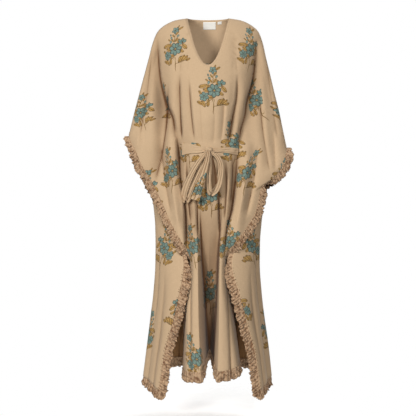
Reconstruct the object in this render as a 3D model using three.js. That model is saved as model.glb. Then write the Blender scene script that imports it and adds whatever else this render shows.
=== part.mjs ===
import * as THREE from 'three';

// Long kaftan with cut-in sleeves, gathered frills on every free edge and a tie belt.
// Millimetres. The front faces -Y, Z is up and X runs to the right as seen from the front.
// The origin lies midway between the shoulders, at the height of the shoulder line.
// Two large panels meet along the shoulders and upper arms. Their side edges hang free:
// the front flap lies over the back panel down to the turning point at thigh height,
// and from there the back panel comes round to the front.

// Cloth
const PANEL_WALL = 1.4;
const FRILL_WALL = 1.2;
const BELT_WALL = 1.6;
const SEAM_GAP = 0.3;
const FRILL_GAP = 1.2;

// Frills
const SIDE_FRILL_WIDTH = 26;
const HEM_FRILL_WIDTH = 31;
const FRILL_PITCH = 44;
const FRILL_WAVE = 5;
const FRILL_STEPS_PER_WAVE = 4;
const CORNER_FAN_STEPS = 3;
const FRILL_FLATTEN = 0.35;
const FRILL_FALL = 0.25;
const WRIST_STAND_OFF = 1;
const TURN_TRIM = 0.4;

// Panel meshes
const FRONT_COLUMNS = 42;
const FRONT_STEP = 42;
const BACK_COLUMNS = 42;
const BACK_STEP = 50;

// Heights below the shoulder line
const FRONT_NECK_DROP = 175;
const BACK_NECK_DROP = -10;
const LEFT_WRIST_DROP = 560;
const RIGHT_WRIST_DROP = 590;
const LEFT_BACK_WRIST_DROP = 490;
const RIGHT_BACK_WRIST_DROP = 530;
const BACK_CUFF_END = 700;
const FRONT_TURN_DROP = 930;
const BACK_TURN_DROP = 945;
const LINE_START_DROP = 560;
const FRONT_HEM_DROP = 1335;
const BACK_HEM_DROP = 1340;

// Front panel rows. drop is the height of the row on the centre line; leftX, leftZ, rightX
// and rightZ place its two ends; the spans are the half widths of the plan curve; depth and
// chest add up to how far the row stands forward; dip shapes the rise to the ends; valley,
// rise and tuck are the centre fold, the lift of the hem in it, and the turned-in sides.
const FRONT_ROWS = [
  { drop: 175, leftX: 80, leftZ: 4, rightX: 80, rightZ: 4, leftSpan: 80, rightSpan: 80,
    depth: 105, chest: 0, dip: 3.4, valley: 0, rise: 0, tuck: 0 },
  { drop: 205, leftX: 125, leftZ: -3, rightX: 125, rightZ: -3, leftSpan: 125, rightSpan: 125,
    depth: 108, chest: 4, dip: 3.2, valley: 0, rise: 0, tuck: 0 },
  { drop: 235, leftX: 172, leftZ: -25, rightX: 172, rightZ: -25, leftSpan: 172, rightSpan: 172,
    depth: 104, chest: 12, dip: 3, valley: 0, rise: 0, tuck: 0 },
  { drop: 265, leftX: 197, leftZ: -49, rightX: 197, rightZ: -49, leftSpan: 197, rightSpan: 197,
    depth: 98, chest: 24, dip: 2.8, valley: 0, rise: 0, tuck: 0 },
  { drop: 305, leftX: 216, leftZ: -94, rightX: 214, rightZ: -94, leftSpan: 216, rightSpan: 214,
    depth: 92, chest: 38, dip: 2.6, valley: 0, rise: 0, tuck: 0 },
  { drop: 350, leftX: 230, leftZ: -148, rightX: 226, rightZ: -148, leftSpan: 230, rightSpan: 226,
    depth: 88, chest: 48, dip: 2.4, valley: 0, rise: 0, tuck: 0 },
  { drop: 400, leftX: 250, leftZ: -222, rightX: 244, rightZ: -222, leftSpan: 250, rightSpan: 244,
    depth: 86, chest: 52, dip: 2.3, valley: 0, rise: 0, tuck: 0 },
  { drop: 445, leftX: 268, leftZ: -290, rightX: 260, rightZ: -290, leftSpan: 268, rightSpan: 260,
    depth: 84, chest: 46, dip: 2.2, valley: 0, rise: 0, tuck: 0 },
  { drop: 490, leftX: 287, leftZ: -362, rightX: 278, rightZ: -362, leftSpan: 287, rightSpan: 278,
    depth: 84, chest: 36, dip: 2.1, valley: 0, rise: 0, tuck: 0 },
  { drop: 530, leftX: 303, leftZ: -428, rightX: 291, rightZ: -425, leftSpan: 303, rightSpan: 291,
    depth: 86, chest: 32, dip: 2, valley: 0, rise: 0, tuck: 0 },
  { drop: 560, leftX: 309, leftZ: -455, rightX: 300, rightZ: -468, leftSpan: 309, rightSpan: 300,
    depth: 88, chest: 32, dip: 2, valley: 2, rise: 0, tuck: 0 },
  { drop: 590, leftX: 286, leftZ: -505, rightX: 306, rightZ: -500, leftSpan: 304, rightSpan: 306,
    depth: 92, chest: 32, dip: 2, valley: 5, rise: 0, tuck: 0 },
  { drop: 640, leftX: 257, leftZ: -573, rightX: 300, rightZ: -552, leftSpan: 289, rightSpan: 318,
    depth: 100, chest: 32, dip: 2, valley: 9, rise: 0, tuck: 0 },
  { drop: 690, leftX: 217, leftZ: -638, rightX: 262, rightZ: -612, leftSpan: 258, rightSpan: 294,
    depth: 110, chest: 28, dip: 2, valley: 14, rise: 0, tuck: 0 },
  { drop: 740, leftX: 184, leftZ: -702, rightX: 208, rightZ: -655, leftSpan: 236, rightSpan: 250,
    depth: 120, chest: 24, dip: 2, valley: 19, rise: 0, tuck: 0 },
  { drop: 800, leftX: 148, leftZ: -782, rightX: 186, rightZ: -745, leftSpan: 226, rightSpan: 232,
    depth: 130, chest: 18, dip: 2, valley: 26, rise: 0, tuck: 0 },
  { drop: 860, leftX: 106, leftZ: -858, rightX: 130, rightZ: -838, leftSpan: 217, rightSpan: 220,
    depth: 140, chest: 12, dip: 2, valley: 34, rise: 0, tuck: 4 },
  { drop: 930, leftX: 68, leftZ: -930, rightX: 66, rightZ: -926, leftSpan: 212, rightSpan: 212,
    depth: 150, chest: 5, dip: 2, valley: 48, rise: 0, tuck: 38 },
  { drop: 1000, leftX: 84, leftZ: -1000, rightX: 80, rightZ: -1000, leftSpan: 216, rightSpan: 216,
    depth: 158, chest: 0, dip: 2, valley: 66, rise: 4, tuck: 94 },
  { drop: 1130, leftX: 92, leftZ: -1130, rightX: 98, rightZ: -1130, leftSpan: 230, rightSpan: 230,
    depth: 171, chest: 0, dip: 2, valley: 112, rise: 14, tuck: 104 },
  { drop: 1335, leftX: 97, leftZ: -1335, rightX: 124, rightZ: -1335, leftSpan: 254, rightSpan: 254,
    depth: 188, chest: 0, dip: 2, valley: 184, rise: 34, tuck: 120 },
];

// Lengthwise lines of the front skirt. share is the place across the panel, and the other
// columns give x at four heights; above the belt the lines spread evenly.
const FRONT_LINES = [
  { name: 'left side fold', share: -0.7, at720: -98, at930: -61, at1130: -82, at1335: -84 },
  { name: 'left ridge', share: -0.38, at720: -62, at930: -45, at1130: -48, at1335: -46 },
  { name: 'valley left wall', share: -0.08, at720: -26, at930: -17, at1130: -11, at1335: -6 },
  { name: 'valley floor', share: 0, at720: 4, at930: 6, at1130: 7, at1335: 7 },
  { name: 'valley right wall', share: 0.1, at720: 38, at930: 30, at1130: 26, at1335: 20 },
  { name: 'right ridge', share: 0.4, at720: 70, at930: 46, at1130: 54, at1335: 64 },
  { name: 'right side fold', share: 0.7, at720: 104, at930: 60, at1130: 84, at1335: 112 },
];
const LINE_DROPS = [720, 930, 1130, 1335];
const VALLEY_SHARE = 0.3;
const TUCK_START = 0.38;
const CHEST_HALF_WIDTH = 190;

// Creases and soft ridges of the front. x is given at the top, middle and bottom;
// a depth above nought is a trough, below nought a ridge.
const FRONT_FOLDS = [
  { name: 'left underarm', top: 40, bottom: 660, xTop: -198, xMid: -176, xBottom: -180, depth: 24, width: 26 },
  { name: 'right underarm', top: 60, bottom: 580, xTop: 200, xMid: 164, xBottom: 172, depth: 18, width: 24 },
  { name: 'left cape crease', top: 320, bottom: 930, xTop: -124, xMid: -106, xBottom: -70, depth: 15, width: 15 },
  { name: 'right cape crease', top: 320, bottom: 925, xTop: 136, xMid: 110, xBottom: 70, depth: 14, width: 15 },
  { name: 'left bust dart', top: 200, bottom: 520, xTop: -112, xMid: -98, xBottom: -84, depth: 6, width: 14 },
  { name: 'left bust ridge', top: 210, bottom: 520, xTop: -76, xMid: -62, xBottom: -48, depth: -5, width: 13 },
  { name: 'right bust dart', top: 210, bottom: 520, xTop: 106, xMid: 92, xBottom: 80, depth: 6, width: 14 },
  { name: 'left cape ridge', top: 380, bottom: 880, xTop: -156, xMid: -142, xBottom: -100, depth: -8, width: 16 },
  { name: 'right cape ridge', top: 380, bottom: 880, xTop: 168, xMid: 146, xBottom: 104, depth: -8, width: 16 },
  { name: 'left sleeve fall', top: 220, bottom: 560, xTop: -236, xMid: -244, xBottom: -254, depth: 7, width: 18 },
  { name: 'right sleeve fall', top: 220, bottom: 590, xTop: 228, xMid: 240, xBottom: 258, depth: 7, width: 18 },
  { name: 'left hip ridge', top: 540, bottom: 900, xTop: -62, xMid: -62, xBottom: -52, depth: -6, width: 14 },
  { name: 'right hip ridge', top: 540, bottom: 900, xTop: 82, xMid: 76, xBottom: 52, depth: -6, width: 14 },
];

// Back panel rows. turn is how far round the plan curve each side of the panel reaches,
// in degrees from the centre back: ninety is the silhouette, more comes round to the front.
const BACK_ROWS = [
  { drop: -10, leftZ: 4, rightZ: 4, leftSpan: 80, rightSpan: 80, leftTurn: 90, rightTurn: 90,
    depth: 62, blade: 0, wrap: 60, dip: 2 },
  { drop: 20, leftZ: -3, rightZ: -3, leftSpan: 125, rightSpan: 125, leftTurn: 90, rightTurn: 90,
    depth: 74, blade: 2, wrap: 60, dip: 2.2 },
  { drop: 55, leftZ: -25, rightZ: -25, leftSpan: 172, rightSpan: 172, leftTurn: 90, rightTurn: 90,
    depth: 80, blade: 8, wrap: 60, dip: 2.4 },
  { drop: 85, leftZ: -49, rightZ: -49, leftSpan: 197, rightSpan: 197, leftTurn: 90, rightTurn: 90,
    depth: 82, blade: 14, wrap: 60, dip: 2.4 },
  { drop: 130, leftZ: -94, rightZ: -94, leftSpan: 216, rightSpan: 214, leftTurn: 90, rightTurn: 90,
    depth: 82, blade: 21, wrap: 60, dip: 2.2 },
  { drop: 180, leftZ: -148, rightZ: -148, leftSpan: 230, rightSpan: 226, leftTurn: 90, rightTurn: 90,
    depth: 82, blade: 25, wrap: 60, dip: 2 },
  { drop: 250, leftZ: -222, rightZ: -222, leftSpan: 250, rightSpan: 244, leftTurn: 90, rightTurn: 90,
    depth: 82, blade: 25, wrap: 60, dip: 2 },
  { drop: 320, leftZ: -290, rightZ: -290, leftSpan: 268, rightSpan: 260, leftTurn: 90, rightTurn: 90,
    depth: 80, blade: 21, wrap: 60, dip: 2 },
  { drop: 390, leftZ: -362, rightZ: -362, leftSpan: 287, rightSpan: 278, leftTurn: 90, rightTurn: 90,
    depth: 80, blade: 16, wrap: 60, dip: 2 },
  { drop: 455, leftZ: -428, rightZ: -425, leftSpan: 303, rightSpan: 291, leftTurn: 90, rightTurn: 90,
    depth: 82, blade: 12, wrap: 62, dip: 2 },
  { drop: 490, leftZ: -455, rightZ: -468, leftSpan: 309, rightSpan: 300, leftTurn: 90, rightTurn: 90,
    depth: 84, blade: 12, wrap: 64, dip: 2 },
  { drop: 530, leftZ: -502, rightZ: -500, leftSpan: 302, rightSpan: 306, leftTurn: 72, rightTurn: 90,
    depth: 88, blade: 12, wrap: 68, dip: 2 },
  { drop: 590, leftZ: -572, rightZ: -550, leftSpan: 284, rightSpan: 314, leftTurn: 65, rightTurn: 71,
    depth: 96, blade: 10, wrap: 78, dip: 2 },
  { drop: 650, leftZ: -640, rightZ: -612, leftSpan: 248, rightSpan: 288, leftTurn: 68, rightTurn: 66,
    depth: 105, blade: 8, wrap: 92, dip: 2 },
  { drop: 700, leftZ: -690, rightZ: -664, leftSpan: 222, rightSpan: 236, leftTurn: 92, rightTurn: 80,
    depth: 112, blade: 6, wrap: 104, dip: 2 },
  { drop: 750, leftZ: -742, rightZ: -728, leftSpan: 213, rightSpan: 217, leftTurn: 118, rightTurn: 112,
    depth: 119, blade: 4, wrap: 110, dip: 2 },
  { drop: 810, leftZ: -806, rightZ: -796, leftSpan: 208, rightSpan: 209, leftTurn: 135, rightTurn: 131,
    depth: 127, blade: 2, wrap: 116, dip: 2 },
  { drop: 870, leftZ: -872, rightZ: -868, leftSpan: 207, rightSpan: 204, leftTurn: 148, rightTurn: 147,
    depth: 136, blade: 0, wrap: 118, dip: 2 },
  { drop: 945, leftZ: -950, rightZ: -946, leftSpan: 208, rightSpan: 203, leftTurn: 154, rightTurn: 154,
    depth: 146, blade: 0, wrap: 135, dip: 2 },
  { drop: 1060, leftZ: -1070, rightZ: -1070, leftSpan: 216, rightSpan: 211, leftTurn: 149, rightTurn: 145,
    depth: 160, blade: 0, wrap: 164, dip: 2 },
  { drop: 1140, leftZ: -1166, rightZ: -1166, leftSpan: 227, rightSpan: 222, leftTurn: 144, rightTurn: 139,
    depth: 169, blade: 0, wrap: 174, dip: 2 },
  { drop: 1230, leftZ: -1282, rightZ: -1282, leftSpan: 241, rightSpan: 238, leftTurn: 137, rightTurn: 132,
    depth: 178, blade: 0, wrap: 180, dip: 2 },
  { drop: 1340, leftZ: -1421, rightZ: -1423, leftSpan: 258, rightSpan: 254, leftTurn: 134, rightTurn: 129,
    depth: 190, blade: 0, wrap: 184, dip: 2 },
];
const BLADE_HALF_WIDTH = 190;

// Pleats of the back and of the parts that come round to the front. turn is in degrees
// from the centre back, given at the top and the bottom; they deepen towards the hem.
const BACK_FOLDS = [
  { name: 'left wrap pleat', top: 760, bottom: 1500, turnTop: -122, turnBottom: -112, depth: 15, width: 11 },
  { name: 'left side pleat', top: 420, bottom: 1500, turnTop: -74, turnBottom: -80, depth: 16, width: 11 },
  { name: 'left back pleat', top: 380, bottom: 1500, turnTop: -46, turnBottom: -53, depth: 22, width: 10 },
  { name: 'left centre pleat', top: 430, bottom: 1500, turnTop: -17, turnBottom: -24, depth: 24, width: 10 },
  { name: 'right centre pleat', top: 400, bottom: 1500, turnTop: 12, turnBottom: 9, depth: 22, width: 10 },
  { name: 'right back pleat', top: 410, bottom: 1500, turnTop: 38, turnBottom: 41, depth: 25, width: 10 },
  { name: 'right side pleat', top: 440, bottom: 1500, turnTop: 68, turnBottom: 72, depth: 18, width: 11 },
  { name: 'right wrap pleat', top: 760, bottom: 1500, turnTop: 120, turnBottom: 104, depth: 15, width: 11 },
];

// Belt and bow
const BELT_LIFT = 4;
const KNOT = { x: 2, z: -516, halfWidth: 13, halfHeight: 10, halfDepth: 9, lift: 10.5 };
const BELT_LEFT = { xStart: -100, xEnd: -9, topStart: -486, topEnd: -509, bottomStart: -533, bottomEnd: -523 };
const BELT_RIGHT = { xStart: 12.1, xEnd: 110, topStart: -510, topEnd: -506, bottomStart: -522, bottomEnd: -532 };
const BOW_TILT = 48;

// Labels inside the back neck
const LABEL = { x: 6, top: 3, width: 50, height: 28, wall: 1 };
const SIZE_TAB = { x: 46, top: 3, width: 16, height: 10, wall: 1 };
const LABEL_CLEARANCE = 0.6;

const CLOTH_COLOUR = 0xc3aa8b;
const FRILL_COLOUR = 0xa58d78;
const BELT_COLOUR = 0xbda384;
const LABEL_COLOUR = 0xeae6dc;

// Smooth curve through table values that never swings past them.
function makeCurve(xs, ys) {
  const last = xs.length - 1;
  const steps = [];
  const rises = [];
  for (let k = 0; k < last; k += 1) {
    steps.push(xs[k + 1] - xs[k]);
    rises.push((ys[k + 1] - ys[k]) / steps[k]);
  }
  const slopes = [rises[0]];
  for (let k = 1; k < last; k += 1) {
    const before = rises[k - 1];
    const after = rises[k];
    const weightBefore = 2 * steps[k] + steps[k - 1];
    const weightAfter = steps[k] + 2 * steps[k - 1];
    const agree = before * after > 0;
    slopes.push(agree ? (weightBefore + weightAfter) / (weightBefore / before + weightAfter / after) : 0);
  }
  slopes.push(rises[last - 1]);
  return (x) => {
    const place = Math.min(xs[last], Math.max(xs[0], x));
    let k = 0;
    while (k < last - 1 && place > xs[k + 1]) k += 1;
    const t = (place - xs[k]) / steps[k];
    const rest = 1 - t;
    const fromLeft = ys[k] * (1 + 2 * t) + slopes[k] * steps[k] * t;
    const fromRight = ys[k + 1] * (3 - 2 * t) - slopes[k + 1] * steps[k] * rest;
    return fromLeft * rest * rest + fromRight * t * t;
  };
}

// One curve for each named column of a table, all against the drop.
function tableCurves(table) {
  const drops = table.map((row) => row.drop);
  const curves = {};
  for (const key of Object.keys(table[0])) curves[key] = makeCurve(drops, table.map((row) => row[key]));
  return curves;
}

const front = tableCurves(FRONT_ROWS);
const back = tableCurves(BACK_ROWS);
const bump = (q) => Math.max(0, 1 - q * q) ** 2;

// How far a crease pushes the front in at a point of it.
function frontFoldDepth(x, z) {
  let depth = 0;
  for (const fold of FRONT_FOLDS) {
    const t = (-z - fold.top) / (fold.bottom - fold.top);
    if (t <= 0 || t >= 1) continue;
    const early = fold.xTop * (1 - t) * (1 - 2 * t) + fold.xMid * 4 * t * (1 - t);
    const line = early + fold.xBottom * t * (2 * t - 1);
    const fade = (4 * t * (1 - t)) ** 0.7;
    depth += fold.depth * fade * Math.exp(-(((x - line) / fold.width) ** 2));
  }
  return depth;
}

const lineCurves = FRONT_LINES.map((line) => {
  const startX = line.share * (line.share < 0 ? front.leftX(LINE_START_DROP) : front.rightX(LINE_START_DROP));
  const lower = [line.at720, line.at930, line.at1130, line.at1335];
  return makeCurve([LINE_START_DROP, ...LINE_DROPS], [startX, ...lower]);
});

// Place of a column across the front at one row.
function frontColumnCurve(drop) {
  const shares = [-1, ...FRONT_LINES.map((line) => line.share), 1];
  const leftEdge = -front.leftX(drop);
  const rightEdge = front.rightX(drop);
  const inner = FRONT_LINES.map((line, k) => {
    if (drop > LINE_START_DROP) return lineCurves[k](drop);
    return line.share * (line.share < 0 ? -leftEdge : rightEdge);
  });
  return makeCurve(shares, [leftEdge, ...inner, rightEdge]);
}

// Height of the front row at a place across it.
function frontHeight(x, drop) {
  const edgeX = x < 0 ? front.leftX(drop) : front.rightX(drop);
  const edgeZ = x < 0 ? front.leftZ(drop) : front.rightZ(drop);
  const share = Math.min(1, Math.abs(x) / edgeX);
  return -drop + (edgeZ + drop) * share ** front.dip(drop);
}

// Base surface of the front, before the centre fold and the turned-in sides.
function frontBase(x, drop) {
  const span = x < 0 ? front.leftSpan(drop) : front.rightSpan(drop);
  const round = Math.sqrt(Math.max(0, 1 - (x / span) ** 2));
  const z = frontHeight(x, drop);
  const pushed = frontFoldDepth(x, z) * Math.min(1, round * 2.5);
  const y = pushed - front.depth(drop) * round - front.chest(drop) * bump(x / CHEST_HALF_WIDTH);
  return new THREE.Vector3(x, y, z);
}

function frontPoint(share, drop, columns) {
  const x = columns(share);
  const point = frontBase(x, drop);
  const sideways = Math.max(0, (Math.abs(share) - TUCK_START) / (1 - TUCK_START));
  const inFold = bump(share / VALLEY_SHARE);
  point.y += front.valley(drop) * inFold + front.tuck(drop) * sideways * sideways;
  point.z += front.rise(drop) * inFold;
  return point;
}

// Back panel: the plan curve runs round the silhouette and on to the front.
function backPoint(share, drop) {
  const left = share < 0;
  const turn = ((left ? back.leftTurn(drop) : back.rightTurn(drop)) * share * Math.PI) / 180;
  const span = left ? back.leftSpan(drop) : back.rightSpan(drop);
  const edgeZ = left ? back.leftZ(drop) : back.rightZ(drop);
  const z = -drop + (edgeZ + drop) * Math.abs(share) ** back.dip(drop);
  const x = span * Math.sin(turn);
  const behind = Math.cos(turn) > 0;
  const depth = behind ? back.depth(drop) : back.wrap(drop);
  const y = depth * Math.cos(turn) + (behind ? back.blade(drop) * bump(x / BLADE_HALF_WIDTH) : 0);
  const degrees = (turn * 180) / Math.PI;
  let pushed = 0;
  for (const fold of BACK_FOLDS) {
    const t = (-z - fold.top) / (fold.bottom - fold.top);
    if (t <= 0) continue;
    const line = fold.turnTop + (fold.turnBottom - fold.turnTop) * t;
    pushed += fold.depth * t * Math.exp(-(((degrees - line) / fold.width) ** 2));
  }
  const reach = Math.hypot(x, y);
  const scale = (reach - pushed) / reach;
  return new THREE.Vector3(x * scale, y * scale, z);
}

// Row heights of a panel, with the given heights kept as rows of their own.
function rowDrops(from, to, step, kept) {
  const stops = [from, ...kept, to].sort((a, b) => a - b);
  const drops = [from];
  for (let k = 0; k < stops.length - 1; k += 1) {
    const pieces = Math.max(1, Math.round((stops[k + 1] - stops[k]) / step));
    for (let i = 1; i <= pieces; i += 1) drops.push(stops[k] + ((stops[k + 1] - stops[k]) * i) / pieces);
  }
  return drops;
}

function gridNormals(grid) {
  const rows = grid.length;
  const columns = grid[0].length;
  return grid.map((row, i) => row.map((_, j) => {
    const down = grid[Math.min(rows - 1, i + 1)][j].clone().sub(grid[Math.max(0, i - 1)][j]);
    const across = grid[i][Math.min(columns - 1, j + 1)].clone().sub(grid[i][Math.max(0, j - 1)]);
    return down.cross(across).normalize();
  }));
}

// Closed thin solid on a grid of points: one skin half a wall out, one half a wall in.
function thinSolid(grid, normals, wall) {
  const rows = grid.length;
  const columns = grid[0].length;
  const positions = [];
  for (const side of [wall / 2, -wall / 2]) {
    grid.forEach((row, i) => row.forEach((point, j) => {
      const moved = point.clone().addScaledVector(normals[i][j], side);
      positions.push(moved.x, moved.y, moved.z);
    }));
  }
  const skin = rows * columns;
  const at = (i, j) => i * columns + j;
  const triangles = [];
  const quad = (a, b, c, d) => triangles.push([a, b, c], [a, c, d]);
  for (let i = 0; i < rows - 1; i += 1) {
    for (let j = 0; j < columns - 1; j += 1) {
      quad(at(i, j), at(i + 1, j), at(i + 1, j + 1), at(i, j + 1));
      quad(skin + at(i, j), skin + at(i, j + 1), skin + at(i + 1, j + 1), skin + at(i + 1, j));
    }
  }
  for (let i = 0; i < rows - 1; i += 1) {
    quad(at(i + 1, 0), at(i, 0), skin + at(i, 0), skin + at(i + 1, 0));
    const end = columns - 1;
    quad(at(i, end), at(i + 1, end), skin + at(i + 1, end), skin + at(i, end));
  }
  for (let j = 0; j < columns - 1; j += 1) {
    quad(at(0, j), at(0, j + 1), skin + at(0, j + 1), skin + at(0, j));
    const end = rows - 1;
    quad(at(end, j + 1), at(end, j), skin + at(end, j), skin + at(end, j + 1));
  }
  return { positions, triangles };
}

function signedVolume({ positions, triangles }) {
  let sum = 0;
  const corner = (k) => new THREE.Vector3(positions[3 * k], positions[3 * k + 1], positions[3 * k + 2]);
  for (const [a, b, c] of triangles) sum += corner(a).dot(corner(b).cross(corner(c)));
  return sum / 6;
}

const garment = new THREE.Group();
garment.name = 'kaftan';

function addSolid(name, solid, colour, roughness) {
  const outward = signedVolume(solid) > 0;
  const index = solid.triangles.flatMap(([a, b, c]) => (outward ? [a, b, c] : [a, c, b]));
  const geometry = new THREE.BufferGeometry();
  geometry.setAttribute('position', new THREE.Float32BufferAttribute(solid.positions, 3));
  geometry.setIndex(index);
  geometry.computeVertexNormals();
  const material = new THREE.MeshStandardMaterial({ color: colour, roughness, metalness: 0 });
  const mesh = new THREE.Mesh(geometry, material);
  mesh.name = name;
  garment.add(mesh);
}

function panelShares(count) {
  return Array.from({ length: count + 1 }, (_, j) => -1 + (2 * j) / count);
}

// The seam along the shoulders and upper arms: both panels end square to it.
function squareSeam(grid, normals, drops, leftEnd, rightEnd, seamY) {
  drops.forEach((drop, i) => {
    const ends = [[0, leftEnd], [grid[i].length - 1, rightEnd]];
    for (const [j, wristDrop] of ends) {
      if (drop > wristDrop + 0.01) continue;
      grid[i][j].y = seamY;
      normals[i][j].y = 0;
      normals[i][j].normalize();
    }
  });
}

// Front panel
const frontKept = [LEFT_WRIST_DROP, RIGHT_WRIST_DROP, FRONT_TURN_DROP];
const frontDrops = rowDrops(FRONT_NECK_DROP, FRONT_HEM_DROP, FRONT_STEP, frontKept);
const frontGrid = frontDrops.map((drop) => {
  const columns = frontColumnCurve(drop);
  return panelShares(FRONT_COLUMNS).map((share) => frontPoint(share, drop, columns));
});
const frontNormals = gridNormals(frontGrid);
squareSeam(frontGrid, frontNormals, frontDrops, LEFT_WRIST_DROP, RIGHT_WRIST_DROP, -SEAM_GAP / 2);
addSolid('front_panel', thinSolid(frontGrid, frontNormals, PANEL_WALL), CLOTH_COLOUR, 0.9);

// Back panel
const backKept = [LEFT_BACK_WRIST_DROP, RIGHT_BACK_WRIST_DROP, BACK_TURN_DROP];
const backDrops = rowDrops(BACK_NECK_DROP, BACK_HEM_DROP, BACK_STEP, backKept);
const backGrid = backDrops.map((drop) => panelShares(BACK_COLUMNS).map((share) => backPoint(share, drop)));
const backNormals = gridNormals(backGrid);
squareSeam(backGrid, backNormals, backDrops, LEFT_BACK_WRIST_DROP, RIGHT_BACK_WRIST_DROP, SEAM_GAP / 2);
addSolid('back_panel', thinSolid(backGrid, backNormals, PANEL_WALL), CLOTH_COLOUR, 0.9);

// Point of a panel's middle surface straight behind a place in the front view:
// the one nearest the viewer on the front, the one farthest away on the back.
function surfaceAt(grid, x, z, farthest) {
  let best = null;
  const test = (a, b, c) => {
    const area = (b.x - a.x) * (c.z - a.z) - (c.x - a.x) * (b.z - a.z);
    if (Math.abs(area) < 1e-9) return;
    const second = ((x - a.x) * (c.z - a.z) - (c.x - a.x) * (z - a.z)) / area;
    const third = ((b.x - a.x) * (z - a.z) - (x - a.x) * (b.z - a.z)) / area;
    if (second < -1e-6 || third < -1e-6 || second + third > 1 + 1e-6) return;
    const y = a.y + second * (b.y - a.y) + third * (c.y - a.y);
    if (best === null || (farthest ? y > best : y < best)) best = y;
  };
  for (let i = 0; i < grid.length - 1; i += 1) {
    for (let j = 0; j < grid[0].length - 1; j += 1) {
      test(grid[i][j], grid[i + 1][j], grid[i + 1][j + 1]);
      test(grid[i][j], grid[i + 1][j + 1], grid[i][j + 1]);
    }
  }
  return new THREE.Vector3(x, best, z);
}
const frontAt = (x, z) => surfaceAt(frontGrid, x, z, false);
const backAt = (x, z) => surfaceAt(backGrid, x, z, true);

// Edge of a panel as a list of stations: the point, the way out in the cloth and the normal.
function edgeStations(grid, normals, cells, away) {
  return cells.map(([i, j], k) => {
    const before = cells[Math.max(0, k - 1)];
    const after = cells[Math.min(cells.length - 1, k + 1)];
    const along = grid[after[0]][after[1]].clone().sub(grid[before[0]][before[1]]).normalize();
    const normal = normals[i][j].clone();
    const out = along.clone().cross(normal).normalize();
    if (out.dot(away(i, j)) < 0) out.negate();
    const hang = new THREE.Vector3(out.x, out.y * FRILL_FLATTEN, out.z - FRILL_FALL).normalize();
    return { point: grid[i][j].clone(), out, hang, normal };
  });
}

const outOfColumn = (grid) => (i, j) => grid[i][j].clone().sub(grid[i][j === 0 ? 1 : j - 1]);
const outOfRow = (grid) => (i, j) => grid[i][j].clone().sub(grid[i - 1][j]);

// Gathered strip along a list of stations.
function frill(stations, width, wave) {
  const lengths = [0];
  for (let k = 1; k < stations.length; k += 1) {
    const fan = stations[k].hang.distanceTo(stations[k - 1].hang) * width;
    lengths.push(lengths[k - 1] + Math.max(fan, stations[k].point.distanceTo(stations[k - 1].point)));
  }
  const total = lengths[lengths.length - 1];
  const waves = Math.max(2, Math.round(total / FRILL_PITCH));
  const count = waves * FRILL_STEPS_PER_WAVE;
  const root = [];
  const edge = [];
  let k = 0;
  for (let i = 0; i <= count; i += 1) {
    const s = (total * i) / count;
    while (k < stations.length - 2 && s > lengths[k + 1]) k += 1;
    const t = Math.min(1, (s - lengths[k]) / (lengths[k + 1] - lengths[k]));
    const point = stations[k].point.clone().lerp(stations[k + 1].point, t);
    const out = stations[k].out.clone().lerp(stations[k + 1].out, t).normalize();
    const hang = stations[k].hang.clone().lerp(stations[k + 1].hang, t).normalize();
    const normal = stations[k].normal.clone().lerp(stations[k + 1].normal, t).normalize();
    const shrink = (stations[k].calm ?? 1) * (1 - t) + (stations[k + 1].calm ?? 1) * t;
    const reach = width * ((stations[k].trim ?? 1) * (1 - t) + (stations[k + 1].trim ?? 1) * t);
    const lift = wave * shrink * Math.sin((2 * Math.PI * i) / FRILL_STEPS_PER_WAVE);
    root.push(point.clone().addScaledVector(out, FRILL_GAP));
    edge.push(point.clone().addScaledVector(hang, reach).addScaledVector(normal, lift));
  }
  const grid = [root, edge];
  return thinSolid(grid, gridNormals(grid), FRILL_WALL);
}

const rowsBetween = (drops, from, to) => drops.map((drop, i) => i)
  .filter((i) => drops[i] >= from - 0.01 && drops[i] <= to + 0.01);

const frontEnd = FRONT_COLUMNS;
const backEnd = BACK_COLUMNS;
const frontLeftRows = rowsBetween(frontDrops, LEFT_WRIST_DROP, FRONT_TURN_DROP);
const frontRightRows = rowsBetween(frontDrops, RIGHT_WRIST_DROP, FRONT_TURN_DROP);
const frontLeftEdge = edgeStations(
  frontGrid, frontNormals, frontLeftRows.map((i) => [i, 0]), outOfColumn(frontGrid));
const frontRightEdge = edgeStations(
  frontGrid, frontNormals, frontRightRows.map((i) => [i, frontEnd]), outOfColumn(frontGrid));
for (const edge of [frontLeftEdge, frontRightEdge]) {
  edge[0].point.y -= SEAM_GAP;
  edge[0].out.setY(0).normalize();
  edge[0].point.addScaledVector(edge[0].out, WRIST_STAND_OFF);
  edge[0].hang.setY(0).normalize();
  edge[0].calm = 0.1;
  edge[1].calm = 0.6;
  edge[edge.length - 1].trim = TURN_TRIM;
  edge[edge.length - 2].trim = TURN_TRIM * 1.9;
  edge[edge.length - 1].calm = 0.5;
}
addSolid('front_frill_left', frill(frontLeftEdge, SIDE_FRILL_WIDTH, FRILL_WAVE), FRILL_COLOUR, 0.95);
addSolid('front_frill_right', frill(frontRightEdge, SIDE_FRILL_WIDTH, FRILL_WAVE), FRILL_COLOUR, 0.95);

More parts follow.
